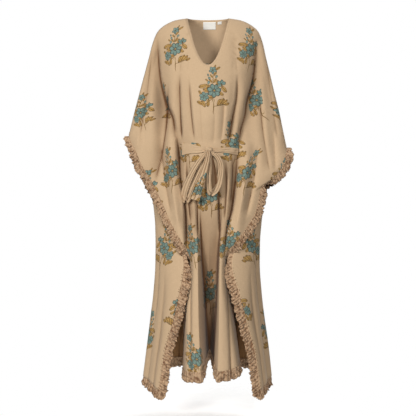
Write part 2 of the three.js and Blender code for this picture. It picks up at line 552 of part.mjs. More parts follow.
const backLeftRows = rowsBetween(backDrops, LEFT_BACK_WRIST_DROP + 1, BACK_CUFF_END);
const backRightRows = rowsBetween(backDrops, RIGHT_BACK_WRIST_DROP + 1, BACK_CUFF_END);
const backLeftEdge = edgeStations(
  backGrid, backNormals, backLeftRows.map((i) => [i, 0]), outOfColumn(backGrid));
const backRightEdge = edgeStations(
  backGrid, backNormals, backRightRows.map((i) => [i, backEnd]), outOfColumn(backGrid));
for (const edge of [backLeftEdge, backRightEdge]) edge[0].calm = 0.3;
addSolid('cuff_frill_left', frill(backLeftEdge, SIDE_FRILL_WIDTH * 0.8, FRILL_WAVE * 0.7), FRILL_COLOUR, 0.95);
addSolid('cuff_frill_right', frill(backRightEdge, SIDE_FRILL_WIDTH * 0.8, FRILL_WAVE * 0.7), FRILL_COLOUR, 0.95);

// Front hem frill, calm where the cloth folds in on itself.
const hemCells = panelShares(FRONT_COLUMNS).map((_, j) => [frontGrid.length - 1, j]);
const frontHem = edgeStations(frontGrid, frontNormals, hemCells, outOfRow(frontGrid));
frontHem.forEach((station, j) => {
  const share = panelShares(FRONT_COLUMNS)[j];
  station.calm = 1 - 0.85 * bump(share / 0.34);
});
addSolid('front_hem_frill', frill(frontHem, HEM_FRILL_WIDTH, FRILL_WAVE), FRILL_COLOUR, 0.95);

// Back frill: down one side edge from the turning point, round the hem and up the other side.
function fanCorner(first, second) {
  const fan = [];
  for (let k = 1; k <= CORNER_FAN_STEPS; k += 1) {
    const t = k / (CORNER_FAN_STEPS + 1);
    const out = first.out.clone().lerp(second.out, t).normalize();
    const hang = first.hang.clone().lerp(second.hang, t).normalize();
    const normal = first.normal.clone().lerp(second.normal, t).normalize();
    fan.push({ point: first.point.clone(), out, hang, normal });
  }
  return fan;
}
const backBottom = backGrid.length - 1;
const turnRows = rowsBetween(backDrops, BACK_TURN_DROP, BACK_HEM_DROP);
const leftFall = edgeStations(backGrid, backNormals, turnRows.map((i) => [i, 0]), outOfColumn(backGrid));
const rightFall = edgeStations(
  backGrid, backNormals, turnRows.map((i) => [i, backEnd]), outOfColumn(backGrid)).reverse();
for (const end of [leftFall[0], rightFall[rightFall.length - 1]]) {
  end.trim = TURN_TRIM;
  end.calm = 0.3;
}
for (const next of [leftFall[1], rightFall[rightFall.length - 2]]) next.trim = TURN_TRIM * 1.9;
const backHemCells = panelShares(BACK_COLUMNS).map((_, j) => [backBottom, j]);
const backHem = edgeStations(backGrid, backNormals, backHemCells, outOfRow(backGrid));
const backRun = [
  ...leftFall,
  ...fanCorner(leftFall[leftFall.length - 1], backHem[0]),
  ...backHem,
  ...fanCorner(backHem[backHem.length - 1], rightFall[0]),
  ...rightFall,
];
addSolid('back_frill', frill(backRun, HEM_FRILL_WIDTH, FRILL_WAVE), FRILL_COLOUR, 0.95);

// Belt: two flat parts that lie on the front between the cape creases and the knot.
function beltBand(size) {
  const lengthSteps = 8;
  const heightSteps = 3;
  const grid = [];
  for (let i = 0; i <= heightSteps; i += 1) {
    const row = [];
    for (let j = 0; j <= lengthSteps; j += 1) {
      const t = j / lengthSteps;
      const x = size.xStart + (size.xEnd - size.xStart) * t;
      const top = size.topStart + (size.topEnd - size.topStart) * t;
      const bottom = size.bottomStart + (size.bottomEnd - size.bottomStart) * t;
      const point = frontAt(x, top + ((bottom - top) * i) / heightSteps);
      point.y -= BELT_LIFT;
      row.push(point);
    }
    grid.push(row);
  }
  return thinSolid(grid, gridNormals(grid), BELT_WALL);
}
addSolid('belt_left', beltBand(BELT_LEFT), BELT_COLOUR, 0.9);
addSolid('belt_right', beltBand(BELT_RIGHT), BELT_COLOUR, 0.9);

// Knot: a tight lump of belt cloth.
function knotSolid(size) {
  const seat = frontAt(size.x, size.z);
  const centre = new THREE.Vector3(size.x, seat.y - size.lift, size.z);
  const rings = 6;
  const around = 12;
  const positions = [centre.x, centre.y, centre.z + size.halfHeight];
  for (let i = 1; i < rings; i += 1) {
    const polar = (Math.PI * i) / rings;
    for (let j = 0; j < around; j += 1) {
      const angle = (2 * Math.PI * j) / around;
      positions.push(
        centre.x + size.halfWidth * Math.sin(polar) * Math.cos(angle),
        centre.y + size.halfDepth * Math.sin(polar) * Math.sin(angle),
        centre.z + size.halfHeight * Math.cos(polar),
      );
    }
  }
  positions.push(centre.x, centre.y, centre.z - size.halfHeight);
  const foot = positions.length / 3 - 1;
  const triangles = [];
  const at = (i, j) => 1 + (i - 1) * around + (j % around);
  for (let j = 0; j < around; j += 1) {
    triangles.push([0, at(1, j), at(1, j + 1)]);
    for (let i = 1; i < rings - 1; i += 1) {
      triangles.push([at(i, j), at(i + 1, j), at(i + 1, j + 1)], [at(i, j), at(i + 1, j + 1), at(i, j + 1)]);
    }
    triangles.push([at(rings - 1, j), foot, at(rings - 1, j + 1)]);
  }
  return { positions, triangles };
}
addSolid('belt_knot', knotSolid(KNOT), BELT_COLOUR, 0.9);

// Bow pieces. Each row is a station of the strip: its place in the front view, how far its
// middle stands off the front, and its width.
const LEFT_LOOP = [
  { x: -5, z: -526.5, lift: 13, width: 13 },
  { x: -30, z: -560, lift: 22, width: 22 },
  { x: -56, z: -610, lift: 22, width: 30 },
  { x: -76, z: -665, lift: 21, width: 34 },
  { x: -80, z: -690, lift: 20, width: 35 },
  { x: -72, z: -700, lift: 20, width: 35 },
  { x: -63, z: -688, lift: 20, width: 34 },
  { x: -48, z: -650, lift: 21, width: 32 },
  { x: -26, z: -596, lift: 21, width: 26 },
  { x: -9, z: -556, lift: 20, width: 18 },
  { x: -2, z: -536, lift: 19, width: 12 },
];
const RIGHT_LOOP = [
  { x: 9, z: -526.5, lift: 13, width: 12 },
  { x: 36, z: -545, lift: 22, width: 20 },
  { x: 49, z: -585, lift: 22, width: 26 },
  { x: 42, z: -635, lift: 22, width: 30 },
  { x: 26, z: -672, lift: 22, width: 32 },
  { x: 12, z: -680, lift: 22, width: 32 },
  { x: 3, z: -664, lift: 22, width: 31 },
  { x: 2, z: -620, lift: 22, width: 28 },
  { x: 6, z: -575, lift: 21, width: 20 },
  { x: 8, z: -540, lift: 20, width: 12 },
];
const FRONT_TIE = [
  { x: 3, z: -521, lift: 20, width: 14 },
  { x: -4, z: -560, lift: 36, width: 20 },
  { x: -18, z: -610, lift: 41, width: 26 },
  { x: -36, z: -660, lift: 42, width: 31 },
  { x: -50, z: -706, lift: 41, width: 35 },
];
const BACK_TIE = [
  { x: 8, z: -531, lift: 3.4, width: 12 },
  { x: 14, z: -570, lift: 2.6, width: 22 },
  { x: 20, z: -620, lift: 2.6, width: 30 },
  { x: 26, z: -672, lift: 2.6, width: 34 },
];

// Strip through a list of stations; tilt turns its width from the front view into the depth.
function strip(stations, tilt) {
  const angle = (tilt * Math.PI) / 180;
  const middle = stations.map((station) => {
    const point = frontAt(station.x, station.z);
    point.y -= station.lift;
    return point;
  });
  const sides = [-0.5, 0.5];
  const grid = sides.map((side) => stations.map((station, k) => {
    const before = middle[Math.max(0, k - 1)];
    const after = middle[Math.min(stations.length - 1, k + 1)];
    const along = after.clone().sub(before).normalize();
    const across = new THREE.Vector3(-along.z, 0, along.x).normalize();
    if (tilt > 0) across.set(Math.abs(across.x), 0, 0);
    const width = new THREE.Vector3(Math.cos(angle), -Math.sin(angle), 0);
    const direction = tilt > 0 ? width : across;
    return middle[k].clone().addScaledVector(direction, side * station.width);
  }));
  return thinSolid(grid, gridNormals(grid), BELT_WALL);
}
addSolid('bow_loop_left', strip(LEFT_LOOP, BOW_TILT), BELT_COLOUR, 0.9);
addSolid('bow_loop_right', strip(RIGHT_LOOP, BOW_TILT), BELT_COLOUR, 0.9);
addSolid('tie_end_front', strip(FRONT_TIE, 0), BELT_COLOUR, 0.9);
addSolid('tie_end_back', strip(BACK_TIE, 0), BELT_COLOUR, 0.9);

// Blank label and size tab on the inside of the back neck, made from the panel's own points.
function labelSolid(size) {
  const acrossSteps = 4;
  const downSteps = 2;
  const grid = [];
  for (let i = 0; i <= downSteps; i += 1) {
    const row = [];
    for (let j = 0; j <= acrossSteps; j += 1) {
      const x = size.x - size.width / 2 + (size.width * j) / acrossSteps;
      row.push(backAt(x, size.top - (size.height * i) / downSteps));
    }
    grid.push(row);
  }
  const normals = gridNormals(grid);
  const inward = PANEL_WALL / 2 + LABEL_CLEARANCE + size.wall / 2;
  grid.forEach((row, i) => row.forEach((point, j) => {
    const side = normals[i][j].y > 0 ? -1 : 1;
    point.addScaledVector(normals[i][j], side * inward);
  }));
  return thinSolid(grid, normals, size.wall);
}
addSolid('neck_label', labelSolid(LABEL), LABEL_COLOUR, 0.8);
addSolid('size_tab', labelSolid(SIZE_TAB), LABEL_COLOUR, 0.8);

export default garment;
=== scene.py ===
import math

import bmesh
import bpy
import numpy as np
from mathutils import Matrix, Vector
from mathutils.bvhtree import BVHTree


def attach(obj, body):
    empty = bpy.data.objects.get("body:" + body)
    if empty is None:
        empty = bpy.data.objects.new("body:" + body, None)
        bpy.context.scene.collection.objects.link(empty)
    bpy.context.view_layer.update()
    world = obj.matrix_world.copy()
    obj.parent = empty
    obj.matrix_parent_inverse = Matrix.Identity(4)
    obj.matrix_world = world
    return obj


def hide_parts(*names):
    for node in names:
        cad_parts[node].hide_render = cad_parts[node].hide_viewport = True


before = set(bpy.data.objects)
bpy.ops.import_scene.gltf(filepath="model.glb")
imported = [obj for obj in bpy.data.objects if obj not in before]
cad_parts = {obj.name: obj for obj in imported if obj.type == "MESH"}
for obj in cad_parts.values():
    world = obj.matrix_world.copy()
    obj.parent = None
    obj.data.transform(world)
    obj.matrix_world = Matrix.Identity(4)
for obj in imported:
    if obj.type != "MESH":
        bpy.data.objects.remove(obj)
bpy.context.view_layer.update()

# A kaftan that hangs from its shoulders at about z = 0, with its front towards -y.
# The tables are in millimetres, as in the solids; meshes are made in metres. A drop is a
# distance below z = 0, and left and right are as seen from the front.
MM = 0.001
CLOTH_THICKNESS = 0.6
FRILL_THICKNESS = 0.5
BELT_THICKNESS = 1.2
LABEL_THICKNESS = 0.5
SEAM_GAP = 0.4
SIDE_FRILL_WIDTH = 28.0
HEM_FRILL_WIDTH = 34.0
CUFF_FRILL_SHARE = 0.8
GATHER_PITCH = 11.5
FRILL_STEP = 1.25
FRILL_LEVELS = 11
FRILL_LIFT, GATHER_LIFT, GATHER_SLIDE = 1.8, 5.6, 2.3
SEAM_SHARE = 0.16
FRONT_NECK_DROP, FRONT_HEM_DROP = 193.0, 1346.0
BACK_NECK_DROP, BACK_HEM_DROP = -10.0, 1340.0
LEFT_WRIST_DROP, RIGHT_WRIST_DROP = 560.0, 590.0
LEFT_BACK_WRIST_DROP, RIGHT_BACK_WRIST_DROP = 490.0, 530.0
FRONT_TURN_DROP, BACK_TURN_DROP = 930.0, 945.0
BACK_FRILL_LEAD = 42.0
BACK_CUFF_END = 700.0
LINE_START_DROP = 560.0
VALLEY_SHARE, TUCK_START = 0.3, 0.38
# Painted shade of the front's middle valley, and the valley depth at which it is full.
VALLEY_SHADE, FULL_VALLEY = 0.6, 45.0
BACK_RISE, BACK_RISE_START, BACK_RISE_SHARE = 24.0, 1100.0, 0.22
CHEST_HALF_WIDTH = BLADE_HALF_WIDTH = 190.0
FOLD_FADE = 0.7
FRONT_COUNTS = (186, 241)
BACK_COUNTS = (182, 251)

# Tables of the form

# Front rows: drop, left x and z, right x and z, left and right span, depth, chest, dip,
# valley, rise, tuck.
FRONT_ROWS = [
    (193, 80, 4, 80, 4, 80, 80, 106, 2, 2.05, 0, 0, 0),
    (211, 125, -3, 125, -3, 125, 125, 108, 5, 2.4, 0, 0, 0),
    (235, 172, -25, 172, -25, 172, 172, 104, 12, 2.75, 0, 0, 0),
    (265, 197, -49, 197, -49, 197, 197, 98, 24, 2.8, 0, 0, 0),
    (305, 216, -94, 214, -94, 216, 214, 92, 38, 2.6, 0, 0, 0),
    (350, 230, -148, 226, -148, 230, 226, 88, 48, 2.4, 0, 0, 0),
    (400, 250, -222, 244, -222, 250, 244, 86, 52, 2.3, 0, 0, 0),
    (445, 268, -290, 260, -290, 268, 260, 84, 46, 2.2, 0, 0, 0),
    (490, 287, -362, 278, -362, 287, 278, 84, 36, 2.1, 0, 0, 0),
    (530, 303, -428, 291, -425, 303, 291, 86, 32, 2, 0, 0, 0),
    (560, 309, -455, 300, -468, 309, 300, 88, 32, 2, 2, 0, 0),
    (590, 286, -505, 306, -500, 304, 306, 92, 32, 2, 5, 0, 0),
    (640, 257, -573, 300, -552, 289, 318, 100, 32, 2, 9, 0, 0),
    (690, 217, -638, 262, -612, 258, 294, 110, 28, 2, 14, 0, 0),
    (740, 184, -702, 208, -655, 236, 250, 120, 24, 2, 19, 0, 0),
    (800, 148, -782, 186, -745, 226, 232, 130, 18, 2, 26, 0, 0),
    (860, 106, -858, 130, -838, 217, 220, 140, 12, 2, 34, 0, 4),
    (930, 68, -930, 66, -926, 212, 212, 150, 5, 2, 48, 0, 38),
    (1000, 84, -1000, 80, -1000, 216, 216, 158, 0, 2, 66, 4, 94),
    (1130, 92, -1130, 98, -1130, 230, 230, 171, 0, 2, 112, 14, 104),
    (1346, 97, -1352, 124, -1332, 254, 254, 188, 0, 2, 184, 54, 120),
]
# Lengthwise lines of the front skirt: share, then x at four drops.
LINE_DROPS = (720, 930, 1130, 1346)
FRONT_LINES = [
    (-0.7, -98, -61, -82, -84),
    (-0.38, -62, -45, -46, -38),
    (-0.08, -26, -17, -9, -1),
    (0, 4, 6, 7, 7),
    (0.1, 38, 30, 23, 15),
    (0.4, 70, 46, 52, 54),
    (0.7, 104, 60, 84, 112),
]
# Creases of the front that the solids have: top, bottom, x at the top, middle and bottom,
# depth, width. A depth below nought is a ridge.
FRONT_FOLDS = [
    (40, 660, -198, -176, -180, 24, 26),
    (60, 580, 200, 164, 172, 18, 24),
    (320, 930, -124, -106, -70, 15, 15),
    (320, 925, 136, 110, 70, 14, 15),
    (200, 520, -112, -98, -84, 6, 14),
    (210, 520, -76, -62, -48, -5, 13),
    (210, 520, 106, 92, 80, 6, 14),
    (380, 880, -156, -142, -100, -8, 16),
    (380, 880, 168, 146, 104, -8, 16),
    (220, 560, -236, -244, -254, 7, 18),
    (220, 590, 228, 240, 258, 7, 18),
    (540, 900, -62, -62, -52, -6, 14),
    (540, 900, 82, 76, 52, -6, 14),
]
# Finer creases of the front: x and z along the line, depth, width to its left and right.
# A narrow side makes a crisp edge and a wide side a soft fall.
FRONT_CREASES = [
    (((-200, -50), (-193, -130), (-186, -216), (-162, -320), (-131, -400), (-122, -480)), 34, 48, 5),
    (((-126, -400), (-116, -500), (-108, -606), (-87, -750), (-82, -925)), 30, 4, 46),
    (((-109, -215), (-105, -350), (-98, -480)), 19, 17, 3.5),
    (((-73, -230), (-62, -380), (-50, -488)), 13, 15, 4),
    (((-30, -330), (-26, -420), (-20, -500)), 3.5, 8, 8),
    (((26, -360), (24, -430), (18, -500)), 3.5, 8, 8),
    (((113, -215), (109, -302), (91, -400), (77, -490)), 21, 4, 18),
    (((62, -300), (58, -400), (48, -495)), 7, 11, 5),
    (((193, -60), (172, -236), (147, -330), (140, -380), (123, -440), (117, -505)), 30, 5, 44),
    (((121, -470), (112, -560), (105, -640), (92, -740), (70, -830), (63, -925)), 28, 46, 4),
    (((-84, -535), (-78, -650), (-66, -800)), 15, 4, 15),
    (((-46, -532), (-41, -700), (-36, -860)), 15, 13, 3.5),
    (((-16, -530), (-14, -610), (-10, -700)), 7, 6, 6),
    (((32, -530), (40, -700), (44, -860)), 15, 3.5, 13),
    (((64, -534), (70, -650), (62, -790)), 13, 13, 3.5),
    (((95, -536), (92, -620), (84, -720)), 12, 4, 13),
    (((-31, -700), (-25, -900), (-12, -1100), (-2, -1346)), 20, 4, 19),
    (((54, -720), (41, -900), (33, -1100), (20, -1346)), 18, 19, 4),
    (((-58, -880), (-64, -1100), (-64, -1346)), 10, 10, 4),
    (((64, -960), (76, -1130), (84, -1346)), 10, 4, 12),
    (((4, -800), (2, -1000), (6, -1200), (8, -1346)), -7, 9, 9),
    (((-216, -110), (-238, -300), (-264, -470)), 9, 18, 13),
    (((-150, -240), (-158, -400), (-172, -508), (-190, -590), (-204, -650)), 17, 40, 7),
    (((-250, -330), (-262, -430), (-276, -520)), -6, 12, 12),
    (((222, -110), (244, -300), (270, -480)), 8, 15, 18),
    (((196, -250), (210, -420), (238, -610)), 12, 24, 10),
    (((-186, -470), (-168, -600), (-140, -760)), 11, 8, 20),
    (((-150, -500), (-136, -640), (-108, -820)), -7, 10, 14),
    (((196, -470), (176, -620), (142, -780)), 11, 20, 8),
    (((152, -520), (136, -660), (104, -820)), -7, 14, 10),
    (((250, -420), (256, -500), (258, -600)), 6, 14, 9),
    (((-98, -50), (-101, -140), (-106, -225)), 4, 12, 12),
    (((100, -50), (104, -140), (110, -225)), 4, 12, 12),
    (((-80, -14), (-78, -90), (-76, -230)), 2.2, 6, 3),
    (((92, -14), (96, -90), (94, -230)), 2.2, 3, 6),
]
# Painted shade on the front behind and under the bow: x, z, half width, half height, strength.
BOW_SHADE_SPOTS = [(18, -618, 8, 44, 0.85), (-27, -716, 6, 26, 0.95), (-72, -640, 7, 30, 0.5)]
# Back rows: drop, left z, right z, left and right span, left and right turn, depth,
# blade, wrap, dip.
BACK_ROWS = [
    (-10, 4, 4, 80, 80, 90, 90, 62, 0, 60, 2),
    (20, -3, -3, 125, 125, 90, 90, 74, 2, 60, 2.2),
    (55, -25, -25, 172, 172, 90, 90, 80, 8, 60, 2.4),
    (85, -49, -49, 197, 197, 90, 90, 82, 14, 60, 2.4),
    (130, -94, -94, 216, 214, 90, 90, 82, 21, 60, 2.2),
    (180, -148, -148, 230, 226, 90, 90, 82, 25, 60, 2),
    (250, -222, -222, 250, 244, 90, 90, 82, 25, 60, 2),
    (320, -290, -290, 268, 260, 90, 90, 80, 21, 60, 2),
    (390, -362, -362, 287, 278, 90, 90, 80, 16, 60, 2),
    (455, -428, -425, 303, 291, 90, 90, 82, 12, 62, 2),
    (490, -455, -468, 309, 300, 90, 90, 84, 12, 64, 2),
    (530, -502, -500, 302, 306, 72, 90, 88, 12, 68, 2),
    (590, -572, -550, 284, 314, 65, 71, 96, 10, 78, 2),
    (650, -640, -612, 248, 288, 68, 66, 105, 8, 92, 2),
    (700, -690, -664, 222, 236, 92, 80, 112, 6, 104, 2),
    (750, -742, -728, 213, 217, 118, 112, 119, 4, 110, 2),
    (810, -806, -796, 208, 209, 135, 131, 127, 2, 116, 2),
    (870, -872, -868, 207, 204, 148, 147, 136, 0, 118, 2),
    (945, -950, -946, 208, 203, 154, 154, 146, 0, 135, 2),
    (1060, -1070, -1070, 216, 211, 149, 145, 160, 0, 164, 2),
    (1140, -1166, -1166, 227, 222, 144, 139, 169, 0, 174, 2),
    (1230, -1282, -1282, 241, 238, 137, 132, 178, 0, 180, 2),
    (1340, -1421, -1423, 258, 254, 134, 129, 190, 0, 184, 2),
]
# Pleats of the back: top, bottom, turn at the top and bottom, depth, width in degrees.
BACK_FOLDS = [
    (760, 1500, -122, -112, 15, 11),
    (420, 1500, -74, -80, 16, 11),
    (380, 1500, -46, -53, 22, 10),
    (430, 1500, -17, -24, 24, 10),
    (400, 1500, 12, 9, 22, 10),
    (410, 1500, 38, 41, 25, 10),
    (440, 1500, 68, 72, 18, 11),
    (760, 1500, 120, 104, 15, 11),
]
# Finer creases of the back, as for the front; their first number is the turn round the body
# in degrees times ROUND, and so is near to millimetres.
ROUND = 3.7
BACK_CREASES = [
    (((-236, -170), (-244, -700), (-262, -1440)), 20, 24, 5),
    (((-140, -130), (-150, -700), (-168, -1440)), 22, 5, 26),
    (((-52, -230), (-62, -700), (-76, -1440)), 17, 22, 5),
    (((-96, -420), (-104, -800), (-118, -1440)), 12, 6, 16),
    (((28, -260), (30, -700), (34, -1440)), 16, 5, 22),
    (((-12, -560), (-14, -900), (-18, -1440)), 10, 12, 6),
    (((120, -130), (126, -700), (136, -1440)), 22, 26, 5),
    (((78, -430), (82, -800), (92, -1440)), 12, 16, 6),
    (((214, -170), (228, -700), (246, -1440)), 20, 5, 24),
    (((-352, -620), (-356, -1000), (-352, -1440)), 14, 6, 24),
    (((340, -620), (344, -1000), (338, -1440)), 14, 24, 6),
    (((-300, -760), (-306, -1100), (-310, -1440)), 10, 14, 6),
    (((296, -760), (300, -1100), (300, -1440)), 10, 6, 14),
    (((-470, -960), (-462, -1200), (-448, -1440)), 7, 22, 12),
    (((468, -940), (458, -1200), (440, -1440)), 7, 12, 22),
    (((-418, -820), (-412, -1100), (-400, -1440)), 5, 10, 18),
    (((410, -820), (404, -1100), (390, -1440)), 5, 18, 10),
    (((-190, -60), (-262, -260), (-330, -430)), 9, 8, 20),
    (((184, -60), (256, -260), (326, -430)), 9, 20, 8),
]

# Curves and grids of points


def curve(places, values):
    """Smooth curve through table values that never swings past them."""
    places, values = np.asarray(places, float), np.asarray(values, float)
    steps = np.diff(places)
    rises = np.diff(values) / steps
    slopes = np.zeros(len(places))
    slopes[0], slopes[-1] = rises[0], rises[-1]
    for k in range(1, len(places) - 1):
        if rises[k - 1] * rises[k] > 0:
            before = 2 * steps[k] + steps[k - 1]
            after = steps[k] + 2 * steps[k - 1]
            slopes[k] = (before + after) / (before / rises[k - 1] + after / rises[k])

    def at(x):
        x = np.clip(np.asarray(x, float), places[0], places[-1])
        k = np.clip(np.searchsorted(places, x, side="right") - 1, 0, len(steps) - 1)
        t = (x - places[k]) / steps[k]
        r = 1 - t
        first = values[k] * (1 + 2 * t) + slopes[k] * steps[k] * t
        second = values[k + 1] * (3 - 2 * t) - slopes[k + 1] * steps[k] * r
        return first * r * r + second * t * t

    return at


def columns_of(rows, names):
    """A smooth curve over the drop for each named column of a table."""
    drops = [row[0] for row in rows]
    return {name: curve(drops, [row[k + 1] for row in rows]) for k, name in enumerate(names)}


FRONT = columns_of(
    FRONT_ROWS,
    ["left_x", "left_z", "right_x", "right_z", "left_span", "right_span",
     "depth", "chest", "dip", "valley", "rise", "tuck"],
)
BACK = columns_of(
    BACK_ROWS,
    ["left_z", "right_z", "left_span", "right_span", "left_turn", "right_turn",
     "depth", "blade", "wrap", "dip"],
)


def by_side(on_left, row, name):
    """A row's left or right value for each point."""
    return np.where(on_left, row["left_" + name], row["right_" + name])


def bump(q):
    """Rounded hump of height 1 that ends at q = -1 and 1."""
    return np.maximum(0, 1 - q * q) ** 2


def ease(t):
    """Soft start and end between 0 and 1."""
    return t * t * (3 - 2 * t)


def fold_depth(x, z):
    """How far the front's broad folds push in."""
    total = np.zeros_like(x)
    for top, bottom, x_top, x_middle, x_bottom, depth, width in FRONT_FOLDS:
        t = (-z - top) / (bottom - top)
        inside = (t > 0) & (t < 1)
        t = np.clip(t, 0, 1)
        line = x_top * (1 - t) * (1 - 2 * t) + x_middle * 4 * t * (1 - t) + x_bottom * t * (2 * t - 1)
        fade = (4 * t * (1 - t)) ** FOLD_FADE
        total += np.where(inside, depth * fade * np.exp(-(((x - line) / width) ** 2)), 0)
    return total


def pleat_depth(turn, z):
    """How far the back's pleats push in; they deepen towards the hem."""
    total = np.zeros_like(z)
    for top, bottom, turn_top, turn_bottom, depth, width in BACK_FOLDS:
        t = np.maximum(0, (-z - top) / (bottom - top))
        line = turn_top + (turn_bottom - turn_top) * t
        total += depth * t * np.exp(-(((turn - line) / width) ** 2))
    return total


def crease_depth(creases, x, z):
    """How far the fine creases push in, and the painted shade of their lines, from 0 to 1.

    A crease starts and ends softly, but runs out over a hem, and is uneven along its way.
    """
    hem_reach, full_shade_depth = 1300, 16
    total, shade = np.zeros_like(x), np.zeros_like(x)
    for number, (line, depth, left_width, right_width) in enumerate(creases):
        drops = [-point[1] for point in line]
        t = (-z - drops[0]) / (drops[-1] - drops[0])
        end = 1.0 if drops[-1] > hem_reach else ease(np.clip((1 - t) / 0.16, 0, 1))
        uneven = 1 + 0.18 * np.sin(-z / 41 + 1.7 * number)
        fade = ease(np.clip(t / 0.3, 0, 1)) * end * uneven
        off = x - curve(drops, [point[0] for point in line])(-z)
        width = np.where(off < 0, left_width, right_width)
        total += depth * fade * np.exp(-np.abs(off / width) ** 1.35)
        near = np.exp(-np.abs(off / (0.05 * width + 1.2 + depth / 15)) ** 1.5)
        broad = np.where(width > 10, np.exp(-np.abs(off / width) ** 1.5), 0)
        # Painted shade along the crease's line, darkest near it and soft across a wide side.
        shade += np.clip(depth / full_shade_depth, 0, 1.15) * fade * (near + 0.3 * broad)
    return total, np.minimum(1, shade)


def skirt_lines():
    """For each lengthwise line of the front skirt, x as a curve over the drop."""
    lines = []
    for share, *places in FRONT_LINES:
        edge = FRONT["left_x" if share < 0 else "right_x"](LINE_START_DROP)
        lines.append(curve((LINE_START_DROP, *LINE_DROPS), (share * edge, *places)))
    return lines


SKIRT_LINES = skirt_lines()


def front_columns(shares, drop):
    """x of each column of the front at one drop; shares -1 and 1 are its edges."""
    left, right = -float(FRONT["left_x"](drop)), float(FRONT["right_x"](drop))
    inner = []
    for (share, *_), line in zip(FRONT_LINES, SKIRT_LINES):
        if drop > LINE_START_DROP:
            inner.append(float(line(drop)))
        else:
            inner.append(share * (-left if share < 0 else right))
    knots = [-1, *(row[0] for row in FRONT_LINES), 1]
    return curve(knots, [left, *inner, right])(shares)


def front_grid(shares, drops):
    """Points of the front panel, and the painted shade of its creases, its middle valley and under the
    bow.
    """
    grid = np.zeros((len(drops), len(shares), 3))
    shades = np.zeros(grid.shape[:2])
    inside = bump(shares / VALLEY_SHARE)
    sideways = np.maximum(0, (np.abs(shares) - TUCK_START) / (1 - TUCK_START))
    for i, drop in enumerate(drops):
        row = {name: column(drop) for name, column in FRONT.items()}
        x = front_columns(shares, drop)
        edge_share = np.minimum(1, np.abs(x) / by_side(x < 0, row, "x"))
        z = -drop + (by_side(x < 0, row, "z") + drop) * edge_share ** row["dip"]
        rounded = np.sqrt(np.maximum(0, 1 - (x / by_side(x < 0, row, "span")) ** 2))
        fine, shade = crease_depth(FRONT_CREASES, x, z)
        # The folds fade out towards the side edges.
        pushed = (fold_depth(x, z) + fine) * np.minimum(1, rounded * 2.5)
        y = pushed - row["depth"] * rounded - row["chest"] * bump(x / CHEST_HALF_WIDTH)
        y += row["valley"] * inside + row["tuck"] * sideways**2
        z += row["rise"] * inside
        # Painted shade in the middle valley.
        shade = np.minimum(1, shade + VALLEY_SHADE * inside * min(1, row["valley"] / FULL_VALLEY))
        # Painted shade where the bow's loops and tie end shadow the front.
        for shade_x, shade_z, half_width, half_height, strength in BOW_SHADE_SPOTS:
            away = ((x - shade_x) / half_width) ** 2 + ((z - shade_z) / half_height) ** 2
            shade = np.maximum(shade, strength * np.exp(-(away**1.5)))
        grid[i] = np.stack([x, y, z], axis=1)
        shades[i] = shade
    for column, wrist in ((0, LEFT_WRIST_DROP), (-1, RIGHT_WRIST_DROP)):
        grid[drops <= wrist, column, 1] = -SEAM_GAP
    return grid, shades


def back_grid(shares, drops):
    """Points of the back panel, which turns round both sides, and the painted shade of its creases."""
    grid = np.zeros((len(drops), len(shares), 3))
    shades = np.zeros(grid.shape[:2])
    left = shares < 0
    middle = bump(shares / BACK_RISE_SHARE)
    firm_edge = np.minimum(1, (1 - np.abs(shares)) * 14)
    for i, drop in enumerate(drops):
        row = {name: column(drop) for name, column in BACK.items()}
        turn = by_side(left, row, "turn") * shares
        angle = np.radians(turn)
        low = max(0, drop - BACK_RISE_START) / (BACK_HEM_DROP - BACK_RISE_START)
        z = -drop + (by_side(left, row, "z") + drop) * np.abs(shares) ** row["dip"]
        z += BACK_RISE * middle * low
        x = by_side(left, row, "span") * np.sin(angle)
        behind = np.cos(angle) > 0
        y = np.where(behind, row["depth"], row["wrap"]) * np.cos(angle)
        y += np.where(behind, row["blade"] * bump(x / BLADE_HALF_WIDTH), 0)
        fine, shades[i] = crease_depth(BACK_CREASES, turn * ROUND, z)
        reach = np.hypot(x, y)
        scale = 1 - (pleat_depth(turn, z) + fine * firm_edge) / reach
        grid[i] = np.stack([x * scale, y * scale, z], axis=1)
    for column, wrist in ((0, LEFT_BACK_WRIST_DROP), (-1, RIGHT_BACK_WRIST_DROP)):
        grid[drops <= wrist, column, 1] = SEAM_GAP
    return grid, shades


def row_drops(start, end, count, kept):
    """Evenly spaced drops with the kept ones among them."""
    drops = np.linspace(start, end, count)
    for k in kept:
        drops[np.argmin(np.abs(drops - k))] = k
    return drops


def unit(v):
    """Vectors of length 1."""
    return v / (np.linalg.norm(v, axis=-1, keepdims=True) + 1e-12)


def normals_of(grid):
    """Normals of a grid of points."""
    return unit(np.cross(np.gradient(grid, axis=0), np.gradient(grid, axis=1)))


# Meshes


def quads_of(rows, columns, loop_across=False):
    """Corner numbers of a grid's four-sided faces."""
    index = np.arange(rows * columns).reshape(rows, columns)
    if loop_across:
        index = np.concatenate([index, index[:, :1]], axis=1)
    corners = [index[:-1, :-1], index[1:, :-1], index[1:, 1:], index[:-1, 1:]]
    return np.stack(corners, axis=-1).reshape(-1, 4)


def add_uv(obj, name, values):
    """UV map from a pair of numbers for each corner of each face."""
    layer = obj.data.uv_layers.new(name=name)
    layer.data.foreach_set("uv", np.asarray(values, np.float32).ravel())


